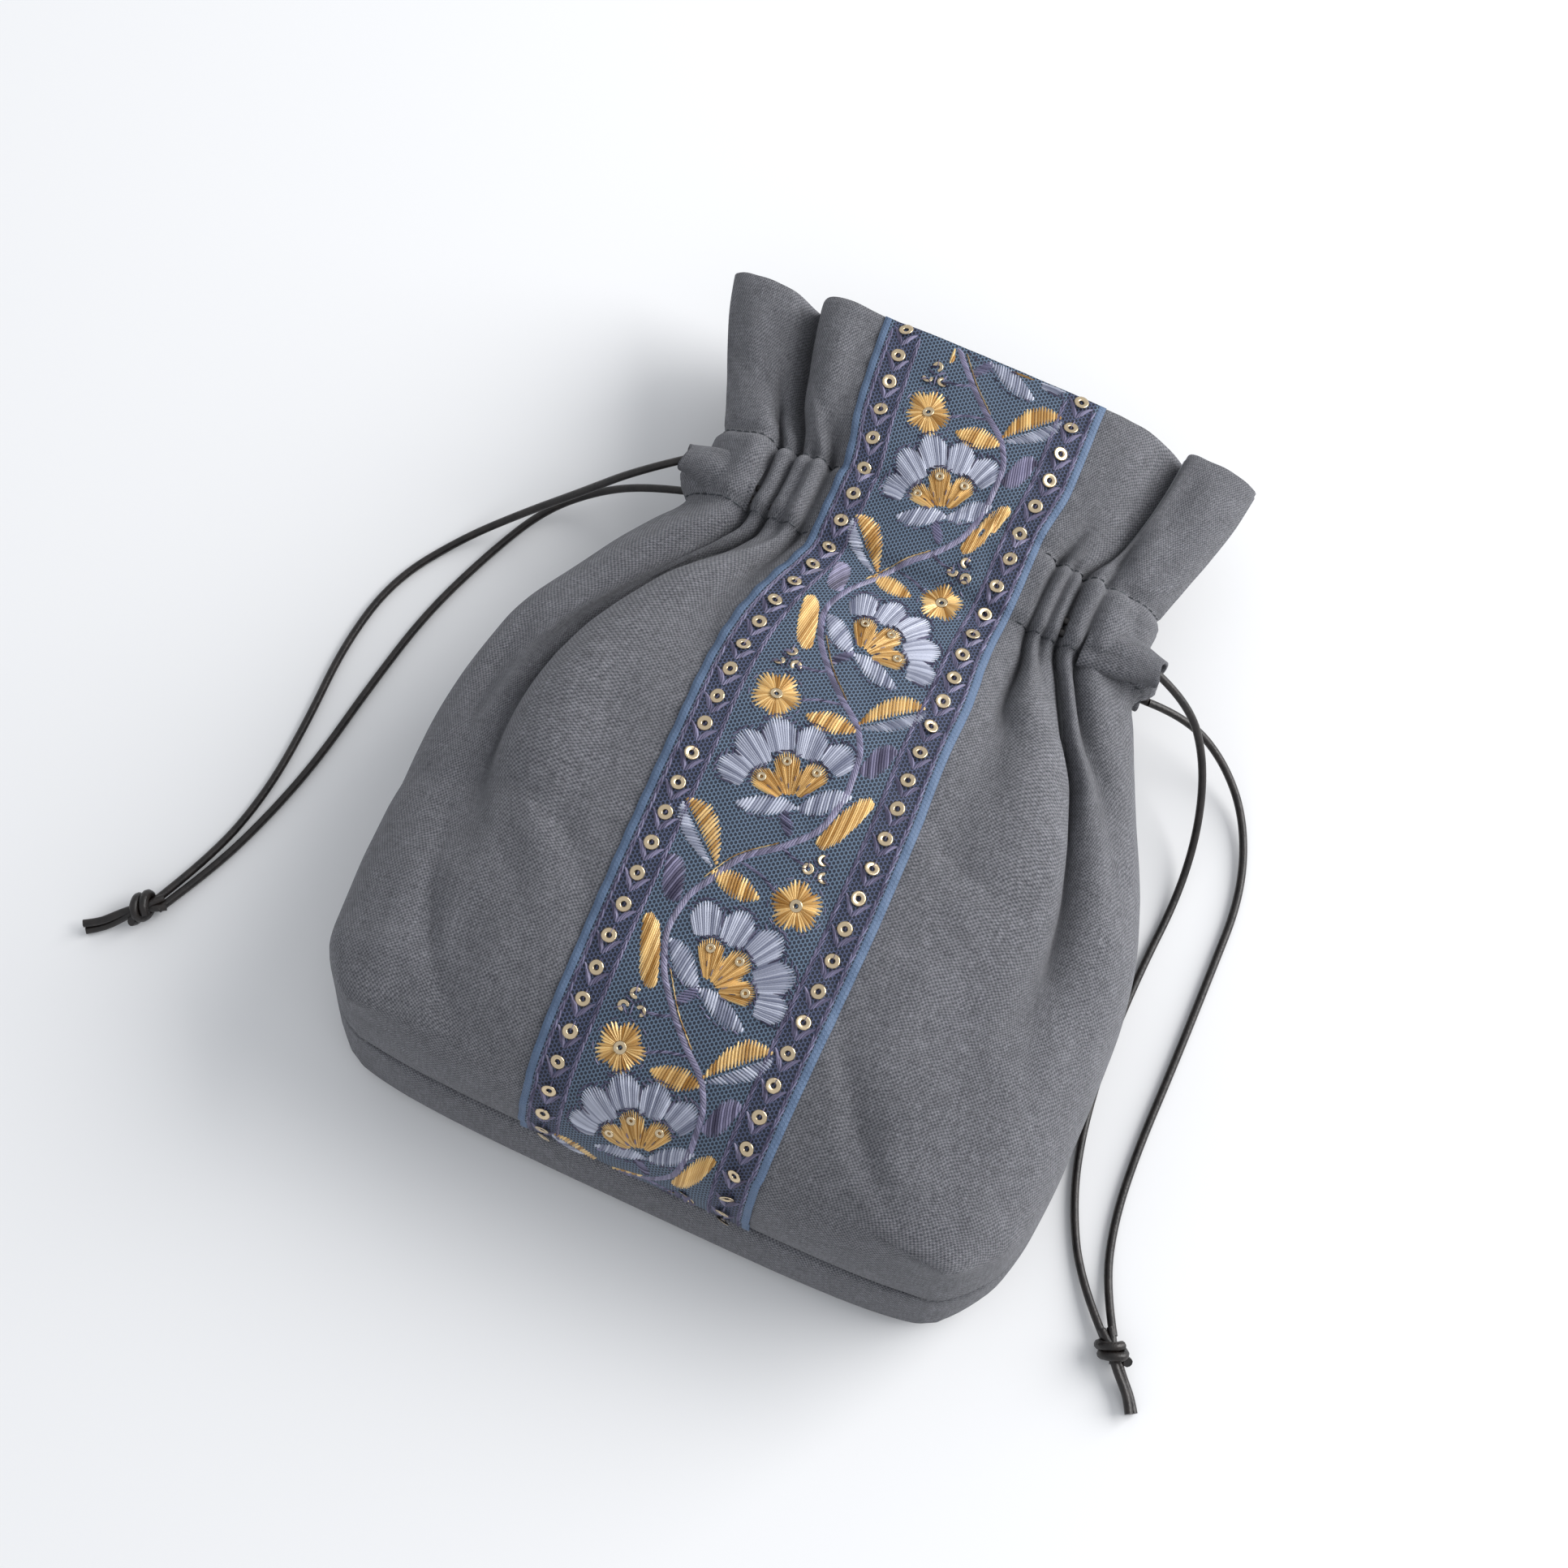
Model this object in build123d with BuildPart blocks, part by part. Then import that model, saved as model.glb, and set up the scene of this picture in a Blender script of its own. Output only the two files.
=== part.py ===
from build123d import *
import math
import os

# A lined drawstring gift pouch of slate linen with an embroidered ribbon down its front.
# It lies on its back: +Z up through the front, +Y from the base to the mouth, +X to the right.

# ---- driving dimensions, mm ------------------------------------------------------------
pouch_length = 197.0
body_half_width = 80.5
belly_height = 56.0
neck_half_width = 53.0
mouth_half_width = 64.0
seam_height = 18.0
cloth = 1.2
lining_gap = 0.3
lining_cloth = 0.8
open_end = 1.0

neck_y = 42.5
casing_length = 19.5
neck_low = 14.0
neck_high = 39.0
casing_thickness = 7.0
casing_wall = 1.0
slit_length = 6.0
slit_width = 15.0
frill_gap = 0.4
rest_depth = 0.4

ribbon_width = 55.0
ribbon_gap = 0.1
ribbon_thickness = 0.6
ribbon_x = -2.0

cord_diameter = 1.8
pull_travel = 50.0
leg_length = pull_travel + 10.0
leg_rest = 2.0
floor_height = 0.95

embroidery_depth = 2.7

base_y = (embroidery_depth - pouch_length) / 2
mouth_y = base_y + pouch_length
casing_end_y = neck_y + casing_length
frill_y = casing_end_y + frill_gap
corner_share = 0.42
neck_seam = (neck_low + neck_high) / 2

# Cross sections of the filled body from base to neck: place along Y, half width, lowest
# and highest point. The front rolls down over the base to the seam across its middle. The
# back reaches rest_depth below the table and is cut off flat there, where the pouch lies.
body_stations = [
    (base_y, body_half_width - 13, 8.0, 24.0),
    (base_y + 2, body_half_width - 6, 3.0, 34.0),
    (base_y + 8, body_half_width - 2, 0.5, 42.0),
    (base_y + 18, body_half_width - 0.5, -rest_depth, 48.0),
    (base_y + 42, body_half_width, -rest_depth, belly_height - 2),
    (base_y + 82, body_half_width - 1.5, -rest_depth, belly_height),
    (base_y + 105, body_half_width - 9, -rest_depth, 53.0),
    (base_y + 126, body_half_width - 19, 2.0, 46.5),
    (neck_y, neck_half_width, neck_low, neck_high),
]
frill_stations = [
    (frill_y, neck_half_width, neck_low, neck_high),
    (frill_y + 18, neck_half_width + 5, 11.0, neck_high),
    (mouth_y, mouth_half_width, 8.0, neck_high - 1.5),
]


# ---- shared shapes ---------------------------------------------------------------------
def across(y):
    """The upright plane across the pouch at y, its own Y pointing up."""
    return Plane.XZ.offset(-y)


def grown(stations, growth, base_shift=0.0):
    """The sections made larger all round, the closed base moved out and the mouth left."""
    last = len(stations) - 1
    return [
        (y - base_shift * (1 - i / last), half_width + growth, low - growth, high + growth)
        for i, (y, half_width, low, high) in enumerate(stations)
    ]


def run_past(stations, base=False, mouth=True):
    """The sections with one more beyond each open end, for a cut that goes right through."""
    first, last = stations[0], stations[-1]
    before = [(first[0] - open_end, *first[1:])] if base else []
    after = [(last[0] + open_end, *last[1:])] if mouth else []
    return [*before, *stations, *after]


def lofted_form(stations):
    """Closed form with flat facets between rounded sections."""
    with BuildPart() as form:
        for y, half_width, low, high in stations:
            with BuildSketch(across(y)):
                with Locations((0, (low + high) / 2)):
                    RectangleRounded(2 * half_width, high - low, corner_share * (high - low))
        loft(ruled=True)
    return form.part


def finish(piece, name):
    """Names one sub-part and writes it."""
    piece.part.label = name
    export_step(piece.part, f"parts/{name}.step")


os.makedirs("parts", exist_ok=True)
seam_plane = Plane.XY.offset(seam_height)

# ---- outer linen: front and back panel, each with its half of the base -----------------
body_outside = lofted_form(body_stations)
body_inside = lofted_form(run_past(grown(body_stations, -cloth, -cloth)))
for name, side in (("front_panel", Keep.TOP), ("back_panel", Keep.BOTTOM)):
    with BuildPart() as panel:
        add(body_outside)
        add(body_inside, mode=Mode.SUBTRACT)
        split(bisect_by=seam_plane, keep=side)
        split(bisect_by=Plane.XY, keep=Keep.TOP)
    finish(panel, name)

# ---- cotton lining, hanging free inside the outer panels -------------------------------
lining_out = cloth + lining_gap
lining_in = lining_out + lining_cloth
lining_outside = lofted_form(grown(body_stations, -lining_out, -lining_out))
lining_inside = lofted_form(run_past(grown(body_stations, -lining_in, -lining_in)))
for name, side in (("lining_front", Keep.TOP), ("lining_back", Keep.BOTTOM)):
    with BuildPart() as lining:
        add(lining_outside)
        add(lining_inside, mode=Mode.SUBTRACT)
        split(bisect_by=seam_plane, keep=side)
    finish(lining, name)

# ---- drawstring casings: one gathered channel in front, one behind ---------------------
# Each is open at both ends, and its inner wall stops short there: that is the slit in the
# side seam, where a cord crosses from one channel to the other.
front_lane_z = neck_high - casing_thickness / 2
back_lane_z = neck_low + casing_thickness / 2
casing_mid_y = neck_y + casing_length / 2
slit_mid_x = neck_half_width - slit_length / 2
for name, lane_z, inward in (
    ("front_casing", front_lane_z, -1),
    ("back_casing", back_lane_z, 1),
):
    with BuildPart() as casing:
        with BuildSketch(Plane.YZ.offset(-neck_half_width)):
            with Locations((casing_mid_y, lane_z)):
                RectangleRounded(casing_length, casing_thickness, casing_thickness / 3)
                RectangleRounded(
                    casing_length - 2 * casing_wall,
                    casing_thickness - 2 * casing_wall,
                    casing_thickness / 3 - casing_wall,
                    mode=Mode.SUBTRACT,
                )
        extrude(amount=2 * neck_half_width)
        inner_wall_z = lane_z + inward * casing_thickness / 2
        with Locations(
            (-slit_mid_x, casing_mid_y, inner_wall_z),
            (slit_mid_x, casing_mid_y, inner_wall_z),
        ):
            Box(slit_length, slit_width, casing_thickness / 2, mode=Mode.SUBTRACT)
    finish(casing, name)

# ---- frill above the casings: the front half lifts, the back half lies still -----------
frill_outside = lofted_form(frill_stations)
frill_inside = lofted_form(run_past(grown(frill_stations, -cloth), base=True))
for name, side, seam in (
    ("front_frill", Keep.TOP, neck_seam + lining_gap),
    ("back_frill", Keep.BOTTOM, neck_seam),
):
    with BuildPart() as frill:
        add(frill_outside)
        add(frill_inside, mode=Mode.SUBTRACT)
        split(bisect_by=Plane.XY.offset(seam), keep=side)
    finish(frill, name)

# ---- embroidered ribbon, sewn over the front from the base seam to the mouth edge ------
ribbon_top = ribbon_gap + ribbon_thickness
band_height = belly_height + cloth - seam_height
ribbon_outside = grown(body_stations, ribbon_top, ribbon_top)
ribbon_inside = grown(body_stations, ribbon_gap, ribbon_gap)
with BuildPart() as ribbon:
    add(lofted_form(ribbon_outside))
    add(lofted_form(run_past(ribbon_inside)), mode=Mode.SUBTRACT)
    with Locations((ribbon_x, 0, seam_height)):
        Box(
            ribbon_width,
            2 * pouch_length,
            band_height,
            align=(Align.CENTER, Align.CENTER, Align.MIN),
            mode=Mode.INTERSECT,
        )
    with Locations((ribbon_x, neck_y, neck_high + ribbon_gap)):
        Box(
            ribbon_width,
            casing_length - frill_gap,
            ribbon_thickness,
            align=(Align.CENTER, Align.MIN, Align.MIN),
        )
finish(ribbon, "ribbon")

ribbon_frill_outside = grown(frill_stations, ribbon_top)
ribbon_frill_inside = grown(frill_stations, ribbon_gap)
with BuildPart() as ribbon_frill:
    add(lofted_form(ribbon_frill_outside))
    add(lofted_form(run_past(ribbon_frill_inside, base=True)), mode=Mode.SUBTRACT)
    with Locations((ribbon_x, 0, neck_seam + casing_wall)):
        Box(
            ribbon_width,
            2 * pouch_length,
            band_height,
            align=(Align.CENTER, Align.CENTER, Align.MIN),
            mode=Mode.INTERSECT,
        )
finish(ribbon_frill, "ribbon_frill")


# ---- places on the ribbon, by the side view of its face --------------------------------
def top_line(stations):
    """Points (y, z) of the face along the ribbon's middle."""
    return [(y, high) for y, _, _, high in stations]


body_line = [(ribbon_outside[0][0], seam_height), *top_line(ribbon_outside)]
casing_line = [
    (neck_y, neck_high + ribbon_top),
    (casing_end_y - frill_gap, neck_high + ribbon_top),
]
frill_line = top_line(ribbon_frill_outside)


def line_length(line):
    return sum(math.dist(a, b) for a, b in zip(line, line[1:]))


def ribbon_spot(line, distance, offset, lift):
    """A plane on the ribbon's face, distance along it and offset from its middle."""
    for (y0, z0), (y1, z1) in zip(line, line[1:]):
        run = math.dist((y0, z0), (y1, z1))
        if distance <= run:
            break
        distance -= run
    along_y = (y1 - y0) / run
    along_z = (z1 - z0) / run
    return Plane(
        origin=(
            ribbon_x + offset,
            y0 + along_y * distance - along_z * lift,
            z0 + along_z * distance + along_y * lift,
        ),
        x_dir=(1, 0, 0),
        z_dir=(0, -along_z, along_y),
    )


# ---- sequins: two straight rows, and loose trios beside the flowers --------------------
sequin_radius = 1.85
sequin_hole = 0.6
sequin_sheet = 0.3
sequin_pitch = 7.0
sequin_row = 22.0
thread_lift = 0.15


def sequin_spots(line, offset):
    """Evenly spaced places for one row, kept clear of both ends of the line."""
    free = line_length(line) - 2 * sequin_pitch / 2
    count = round(free / sequin_pitch)
    for i in range(count + 1):
        yield ribbon_spot(line, sequin_pitch / 2 + i * free / count, offset, thread_lift)


def sequins_at(spots):
    with BuildPart() as sequins:
        for spot in spots:
            with BuildSketch(spot):
                Circle(sequin_radius)
                Circle(sequin_hole, mode=Mode.SUBTRACT)
        extrude(amount=sequin_sheet)
    return sequins


for name, offset in (("sequin_row_left", -sequin_row), ("sequin_row_right", sequin_row)):
    spots = [*sequin_spots(body_line, offset), *sequin_spots(casing_line, offset)]
    finish(sequins_at(spots), name)
spots = [*sequin_spots(frill_line, -sequin_row), *sequin_spots(frill_line, sequin_row)]
finish(sequins_at(spots), "frill_sequins")

# ---- embroidery, one motif after another up the ribbon ---------------------------------
flower_step = 39.5
first_flower = 22.0
flower_sway = 3.0
petal_count = 7
petal_reach = 7.5
petal_length = 7.5
petal_width = 6.0
heart_radius = 4.2
satin_height = 0.5
bud_radius = 3.6
bud_offset = 12.5
leaf_length = 12.0
leaf_width = 5.0
leaf_offset = 13.0
leaf_turn = 50.0
stem_length = 3.2
stem_width = 0.9
stem_height = 0.4
stem_sway = 14.5
stem_pitch = 4.2
stem_lift = thread_lift + satin_height + 3 * sequin_sheet


def flower_rows(line, start, margin):
    """Distance along the line and side, left or right in turn, of each flower on it."""
    places = []
    distance, side = start, -1
    while distance < line_length(line) - margin:
        places.append((distance, side))
        distance += flower_step
        side = -side
    return places


def satin_flowers(line, places):
    """Petals of pale satin stitch round an open middle."""
    with BuildPart() as flowers:
        for distance, side in places:
            with BuildSketch(ribbon_spot(line, distance, side * flower_sway, thread_lift)):
                with PolarLocations(petal_reach, petal_count):
                    Ellipse(petal_length / 2, petal_width / 2)
                Circle(heart_radius + sequin_hole, mode=Mode.SUBTRACT)
        extrude(amount=satin_height)
    return flowers


def gold_embroidery(line, places):
    """The flower hearts, the small round buds and the pointed leaves in gold thread."""
    with BuildPart() as gold:
        for distance, side in places:
            with BuildSketch(ribbon_spot(line, distance, side * flower_sway, thread_lift)):
                Circle(heart_radius)
            bud_line = distance + flower_step / 2
            if bud_line > line_length(line) - leaf_length / 2:
                continue
            with BuildSketch(ribbon_spot(line, bud_line, side * bud_offset, thread_lift)):
                Circle(bud_radius)
            with BuildSketch(ribbon_spot(line, bud_line, 0, thread_lift)):
                Ellipse(leaf_length / 2, leaf_width / 2, rotation=side * leaf_turn)
        extrude(amount=satin_height)
    return gold


def stem_stitches(line, places):
    """Short stitches in a wave from side to side, clear of the flowers."""
    steps = int((line_length(line) - 2 * stem_pitch) / stem_pitch)
    with BuildPart() as stem:
        for i in range(1, steps):
            distance = i * stem_pitch
            phase = math.pi * (distance - places[0][0]) / flower_step
            offset = stem_sway * math.cos(phase)
            with BuildSketch(ribbon_spot(line, distance, offset, stem_lift)):
                Rectangle(stem_width, stem_length)
        extrude(amount=stem_height)
    return stem


body_places = flower_rows(body_line, first_flower, petal_reach + petal_length / 2)
frill_places = [(line_length(frill_line) / 2, -1)]
for tag, line, places in (("", body_line, body_places), ("frill_", frill_line, frill_places)):
    finish(satin_flowers(line, places), tag + "satin_flowers")
    finish(gold_embroidery(line, places), tag + "gold_embroidery")
    finish(stem_stitches(line, places), tag + "stem_stitches")

# ---- the two stitch lines of each casing -----------------------------------------------
stitch_length = 2.2
stitch_gap = 0.8
stitch_width = 0.5
stitch_inset = 2.6
stitch_height = 0.3
stitch_pitch = stitch_length + stitch_gap
half_run = (ribbon_width + stitch_pitch) / 2
front_count = int((neck_half_width - half_run - abs(ribbon_x)) / stitch_pitch)
back_count = int(2 * neck_half_width / stitch_pitch) - 2


def stitch_lines(plane, centres, count):
    with BuildPart() as stitches:
        with BuildSketch(plane):
            for centre in centres:
                for y in (neck_y + stitch_inset, casing_end_y - stitch_inset):
                    with Locations((centre, y)):
                        with GridLocations(stitch_pitch, stitch_pitch, count, 1):
                            Rectangle(stitch_length, stitch_width)
        extrude(amount=stitch_height)
    return stitches


side_run = half_run + front_count * stitch_pitch / 2
front_centres = (ribbon_x - side_run, ribbon_x + side_run)
finish(
    stitch_lines(Plane.XY.offset(neck_high), front_centres, front_count),
    "front_casing_stitches",
)
finish(
    stitch_lines(Plane.XY.offset(neck_low - stitch_height), (0,), back_count),
    "back_casing_stitches",
)

# ---- two drawcords: each a loop through both channels, its ends tied in one knot -------
left_lane_y = 49.6
right_lane_y = 46.8
spout_x = neck_half_width + 3.0
loop_start_x = leg_length - spout_x + leg_rest
bight_x = neck_half_width - 2.0
arc_share = 0.45
knot_half_length = 4.8
knot_half_width = 3.2
knot_entry_height = 2.6
tail_length = 8.5
tail_bend = 0.6
tail_stack = 0.45

left_front_route = [
    (-spout_x, left_lane_y, front_lane_z),
    (-65.8, 44.5, 30.5),
    (-77.5, 38.8, 19.0),
    (-89.5, 33.0, 8.0),
    (-101.5, 23.5, floor_height),
    (-111.0, 8.0, floor_height),
    (-113.9, -10.5, floor_height),
    (-112.9, -31.0, floor_height),
    (-113.4, -49.5, floor_height),
    (-117.3, -67.0, floor_height),
    (-123.3, -81.4, knot_entry_height),
]
left_back_route = [
    (-spout_x, left_lane_y, back_lane_z),
    (-65.5, 48.0, 14.5),
    (-77.0, 44.8, 7.5),
    (-87.5, 37.0, 2.3),
    (-94.6, 22.0, floor_height),
    (-100.7, 3.5, floor_height),
    (-104.1, -17.0, floor_height),
    (-106.8, -38.5, floor_height),
    (-111.3, -56.5, floor_height),
    (-116.3, -70.5, floor_height),
    (-121.8, -83.0, knot_entry_height),
]
right_front_route = [
    (spout_x, right_lane_y, front_lane_z),
    (64.5, 45.8, 29.5),
    (72.0, 39.8, 18.0),
    (76.8, 29.0, 7.5),
    (78.8, 14.5, floor_height),
    (77.9, -5.0, floor_height),
    (78.2, -24.0, floor_height),
    (80.4, -42.5, floor_height),
    (84.6, -57.5, floor_height),
    (92.6, -72.3, floor_height),
    (102.1, -81.6, knot_entry_height),
]
right_back_route = [
    (spout_x, right_lane_y, back_lane_z),
    (65.0, 48.6, 13.5),
    (76.0, 45.3, 6.5),
    (85.3, 36.3, 1.8),
    (91.3, 20.5, floor_height),
    (92.0, 0.0, floor_height),
    (92.6, -21.0, floor_height),
    (92.8, -41.5, floor_height),
    (94.2, -57.5, floor_height),
    (98.0, -71.0, floor_height),
    (103.6, -80.3, knot_entry_height),
]


# Where each knot sits on the floor, and which way its tails point, in degrees.
knot_places = {"left": ((-124.9, -84.3), -138.0), "right": ((104.8, -83.3), -50.0)}


def corner_radii(route):
    """The largest arc at each corner that leaves its two runs room."""
    radii = []
    for a, b, c in zip(route, route[1:], route[2:]):
        before = Vector(*b) - Vector(*a)
        after = Vector(*c) - Vector(*b)
        half_turn = math.radians(before.get_angle(after)) / 2
        shorter = min(before.length, after.length)
        radii.append(arc_share * shorter / math.tan(half_turn))
    return radii


def cord_tube(*routes):
    """Round cords, each along straight runs joined by tangent arcs."""
    with BuildPart() as tube:
        for route in routes:
            with BuildLine():
                path = FilletPolyline(*route, radius=corner_radii(route))
            ahead = Vector(*route[1]) - Vector(*route[0])
            with BuildSketch(Plane(origin=route[0], z_dir=ahead)):
                Circle(cord_diameter / 2)
            sweep(path=path)
            check = math.pi * cord_diameter**2 / 4 * path.length
    print("length", round(path.length, 1), "volume over section times length",
          round(tube.part.volume / (check * len(routes)), 3),
          "radii", [round(r, 1) for r in corner_radii(route)])
    return tube


cords = (
    ("left", -1, left_lane_y, left_front_route, left_back_route),
    ("right", 1, right_lane_y, right_front_route, right_back_route),
)
for side, way, lane_y, front_route, back_route in cords:
    for name, route, lane_z in (
        ("front", front_route, front_lane_z),
        ("back", back_route, back_lane_z),
    ):
        finish(cord_tube(route), f"{side}_cord_{name}_strand")
        with BuildPart() as leg:
            with BuildSketch(Plane.YZ.offset(way * (spout_x - leg_length))):
                with Locations((lane_y, lane_z)):
                    Circle(cord_diameter / 2)
            extrude(amount=way * leg_length)
        finish(leg, f"{side}_cord_{name}_leg")

    far_loop = [
        (-way * loop_start_x, lane_y, front_lane_z),
        (-way * bight_x, lane_y, front_lane_z),
        (-way * bight_x, lane_y, back_lane_z),
        (-way * loop_start_x, lane_y, back_lane_z),
    ]
    finish(cord_tube(far_loop), f"{side}_cord_far_loop")

    (knot_x, knot_y), tail_turn = knot_places[side]
    knot_plane = Plane(origin=(knot_x, knot_y, knot_half_width + floor_height / 5)).rotated(
        (0, 0, tail_turn)
    )
    with BuildPart() as knot:
        with BuildSketch(knot_plane):
            Ellipse(knot_half_length, knot_half_width)
            Rectangle(
                2 * knot_half_length,
                knot_half_width,
                align=(Align.CENTER, Align.MAX),
                mode=Mode.SUBTRACT,
            )
        revolve(axis=Axis(knot_plane.origin, knot_plane.x_dir))
    finish(knot, f"{side}_cord_knot")

    tail_plane = Plane(origin=(knot_x, knot_y, 0)).rotated((0, 0, tail_turn))
    tail_routes = []
    for height, shift in (
        (floor_height, tail_stack),
        (floor_height + cord_diameter, -tail_stack),
    ):
        local_points = (
            (knot_half_length - 1, shift, height),
            (knot_half_length + tail_length / 2, shift + tail_bend, height),
            (knot_half_length + tail_length, shift, height),
        )
        tail_routes.append([tuple(tail_plane.from_local_coords(p)) for p in local_points])
    finish(cord_tube(*tail_routes), f"{side}_cord_tails")
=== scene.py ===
import math

import bpy
import numpy as np
from mathutils import Matrix, Vector, noise


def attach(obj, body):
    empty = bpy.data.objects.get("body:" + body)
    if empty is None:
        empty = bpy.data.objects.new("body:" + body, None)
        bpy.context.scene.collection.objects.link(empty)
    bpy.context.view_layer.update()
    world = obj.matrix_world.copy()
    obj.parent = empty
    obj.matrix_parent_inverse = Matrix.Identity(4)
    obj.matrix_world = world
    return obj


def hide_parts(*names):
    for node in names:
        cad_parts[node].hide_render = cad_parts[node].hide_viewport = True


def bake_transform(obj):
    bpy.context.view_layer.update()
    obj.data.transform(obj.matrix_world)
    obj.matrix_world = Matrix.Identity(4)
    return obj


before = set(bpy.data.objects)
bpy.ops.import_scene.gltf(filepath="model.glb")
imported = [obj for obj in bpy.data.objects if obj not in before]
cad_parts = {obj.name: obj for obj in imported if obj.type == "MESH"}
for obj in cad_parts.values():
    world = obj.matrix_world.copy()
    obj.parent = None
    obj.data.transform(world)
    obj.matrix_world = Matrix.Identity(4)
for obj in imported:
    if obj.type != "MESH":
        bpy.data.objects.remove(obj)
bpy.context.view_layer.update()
MM = 0.001

# ---- the table, the window light and the camera ------------------------------------------
# The pouch lies on a pale matt table under a large soft window, seen from above and a
# little from the base side, turned so that the ribbon runs up to the right.
view_target = Vector((-10.5, 1.5, 0.0)) * MM
view_distance = 0.700
view_elevation = math.radians(72.0)
view_azimuth = math.radians(24.97)
view_half_width = 0.174


def clear_selection():
    """Nothing selected, so that the next operator works on its own piece alone."""
    if bpy.context.object and bpy.context.object.mode != "OBJECT":
        bpy.ops.object.mode_set(mode="OBJECT")
    bpy.ops.object.select_all(action="DESELECT")


away = Vector((
    math.sin(view_azimuth) * math.cos(view_elevation),
    -math.cos(view_azimuth) * math.cos(view_elevation),
    math.sin(view_elevation),
))
clear_selection()
bpy.ops.object.camera_add(location=view_target + away * view_distance)
camera = bpy.context.object
camera.rotation_mode = "QUATERNION"
camera.rotation_quaternion = (-away).to_track_quat("-Z", "Y")
camera.data.lens = camera.data.sensor_width / 2 * view_distance / view_half_width
camera.data.clip_start = 0.01
camera.data.clip_end = 20
bpy.context.scene.camera = camera

picture_right = Vector((math.cos(view_azimuth), math.sin(view_azimuth), 0))
picture_up = Vector((-math.sin(view_azimuth), math.cos(view_azimuth), 0))


def area_light(name, place, size, power, colour):
    """A soft rectangular light that faces the middle of the table."""
    clear_selection()
    bpy.ops.object.light_add(type="AREA", location=place)
    light = bpy.context.object
    light.name = name
    light.rotation_mode = "QUATERNION"
    light.rotation_quaternion = (-Vector(place)).to_track_quat("-Z", "Y")
    light.data.size = size
    light.data.energy = power
    light.data.color = colour


window_place = picture_right * 1.15 + picture_up * 0.26 + Vector((0, 0, 0.72))
window_size = 1.15
window_power = 25.0
area_light("window_light", window_place, window_size, window_power, (1.0, 0.99, 0.985))

world = bpy.data.worlds.new("room")
bpy.context.scene.world = world
world.use_nodes = True
room = world.node_tree.nodes["Background"]
room.inputs["Color"].default_value = (0.93, 0.955, 1.0, 1)
room.inputs["Strength"].default_value = 0.70
bpy.context.scene.view_settings.view_transform = "Standard"

table_size = 8.0
table_drop = 0.0002
clear_selection()
bpy.ops.mesh.primitive_plane_add(size=table_size, location=(0, 0, -table_drop))
table = bpy.context.object
table.name = "table"
bpy.ops.object.transform_apply(location=True, rotation=True, scale=True)
table_paint = bpy.data.materials.new("table_paint")
table_paint.use_nodes = True
paint = table_paint.node_tree.nodes["Principled BSDF"]
paint.inputs["Base Color"].default_value = (0.83, 0.835, 0.84, 1)
paint.inputs["Roughness"].default_value = 0.85
table.data.materials.append(table_paint)


# ---- the two drawcords -------------------------------------------------------------------
# Waxed cotton cord, 1.8 mm thick. Each is one long loop through both channels, and its two
# free strands come out of one side of the neck, fall to the table and meet in a knot.
cord_diameter = 1.8
floor_height = 0.95
knot_entry_height = 2.6
front_lane = 35.5
back_lane = 17.5
strand_routes = {
    "left_cord_front_strand": [
        (-56, 49.6, front_lane),
        (-65.8, 44.5, 30.5),
        (-77.5, 38.8, 19.0),
        (-89.5, 33.0, 8.0),
        (-101.5, 23.5, floor_height),
        (-111.0, 8.0, floor_height),
        (-113.9, -10.5, floor_height),
        (-112.9, -31.0, floor_height),
        (-113.4, -49.5, floor_height),
        (-117.3, -67.0, floor_height),
        (-123.3, -81.4, knot_entry_height),
    ],
    "left_cord_back_strand": [
        (-56, 49.6, back_lane),
        (-65.5, 48.0, 14.5),
        (-77.0, 44.8, 7.5),
        (-87.5, 37.0, 2.3),
        (-94.6, 22.0, floor_height),
        (-100.7, 3.5, floor_height),
        (-104.1, -17.0, floor_height),
        (-106.8, -38.5, floor_height),
        (-111.3, -56.5, floor_height),
        (-116.3, -70.5, floor_height),
        (-121.8, -83.0, knot_entry_height),
    ],
    "right_cord_front_strand": [
        (56, 46.8, front_lane),
        (64.5, 45.8, 29.5),
        (72.0, 39.8, 18.0),
        (76.8, 29.0, 7.5),
        (78.8, 14.5, floor_height),
        (77.9, -5.0, floor_height),
        (78.2, -24.0, floor_height),
        (80.4, -42.5, floor_height),
        (84.6, -57.5, floor_height),
        (92.6, -72.3, floor_height),
        (102.1, -81.6, knot_entry_height),
    ],
    "right_cord_back_strand": [
        (56, 46.8, back_lane),
        (65.0, 48.6, 13.5),
        (76.0, 45.3, 6.5),
        (85.3, 36.3, 1.8),
        (91.3, 20.5, floor_height),
        (92.0, 0.0, floor_height),
        (92.6, -21.0, floor_height),
        (92.8, -41.5, floor_height),
        (94.2, -57.5, floor_height),
        (98.0, -71.0, floor_height),
        (103.6, -80.3, knot_entry_height),
    ],
}


def node_material(name, roughness):
    """A new material with its shader ready, and its node tree's parts."""
    material = bpy.data.materials.new(name)
    material.use_nodes = True
    tree = material.node_tree
    shader = tree.nodes["Principled BSDF"]
    shader.inputs["Roughness"].default_value = roughness
    return material, tree.nodes, tree.links, shader


def ramp_between(nodes, links, factor, stops):
    """A colour ramp over a factor, from a list of (position, colour)."""
    ramp = nodes.new("ShaderNodeValToRGB")
    points = ramp.color_ramp.elements
    while len(points) < len(stops):
        points.new(0.5)
    for point, (position, colour) in zip(points, stops):
        point.position = position
        point.color = (*colour, 1)
    links.new(factor, ramp.inputs["Fac"])
    return ramp.outputs["Color"]


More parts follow.
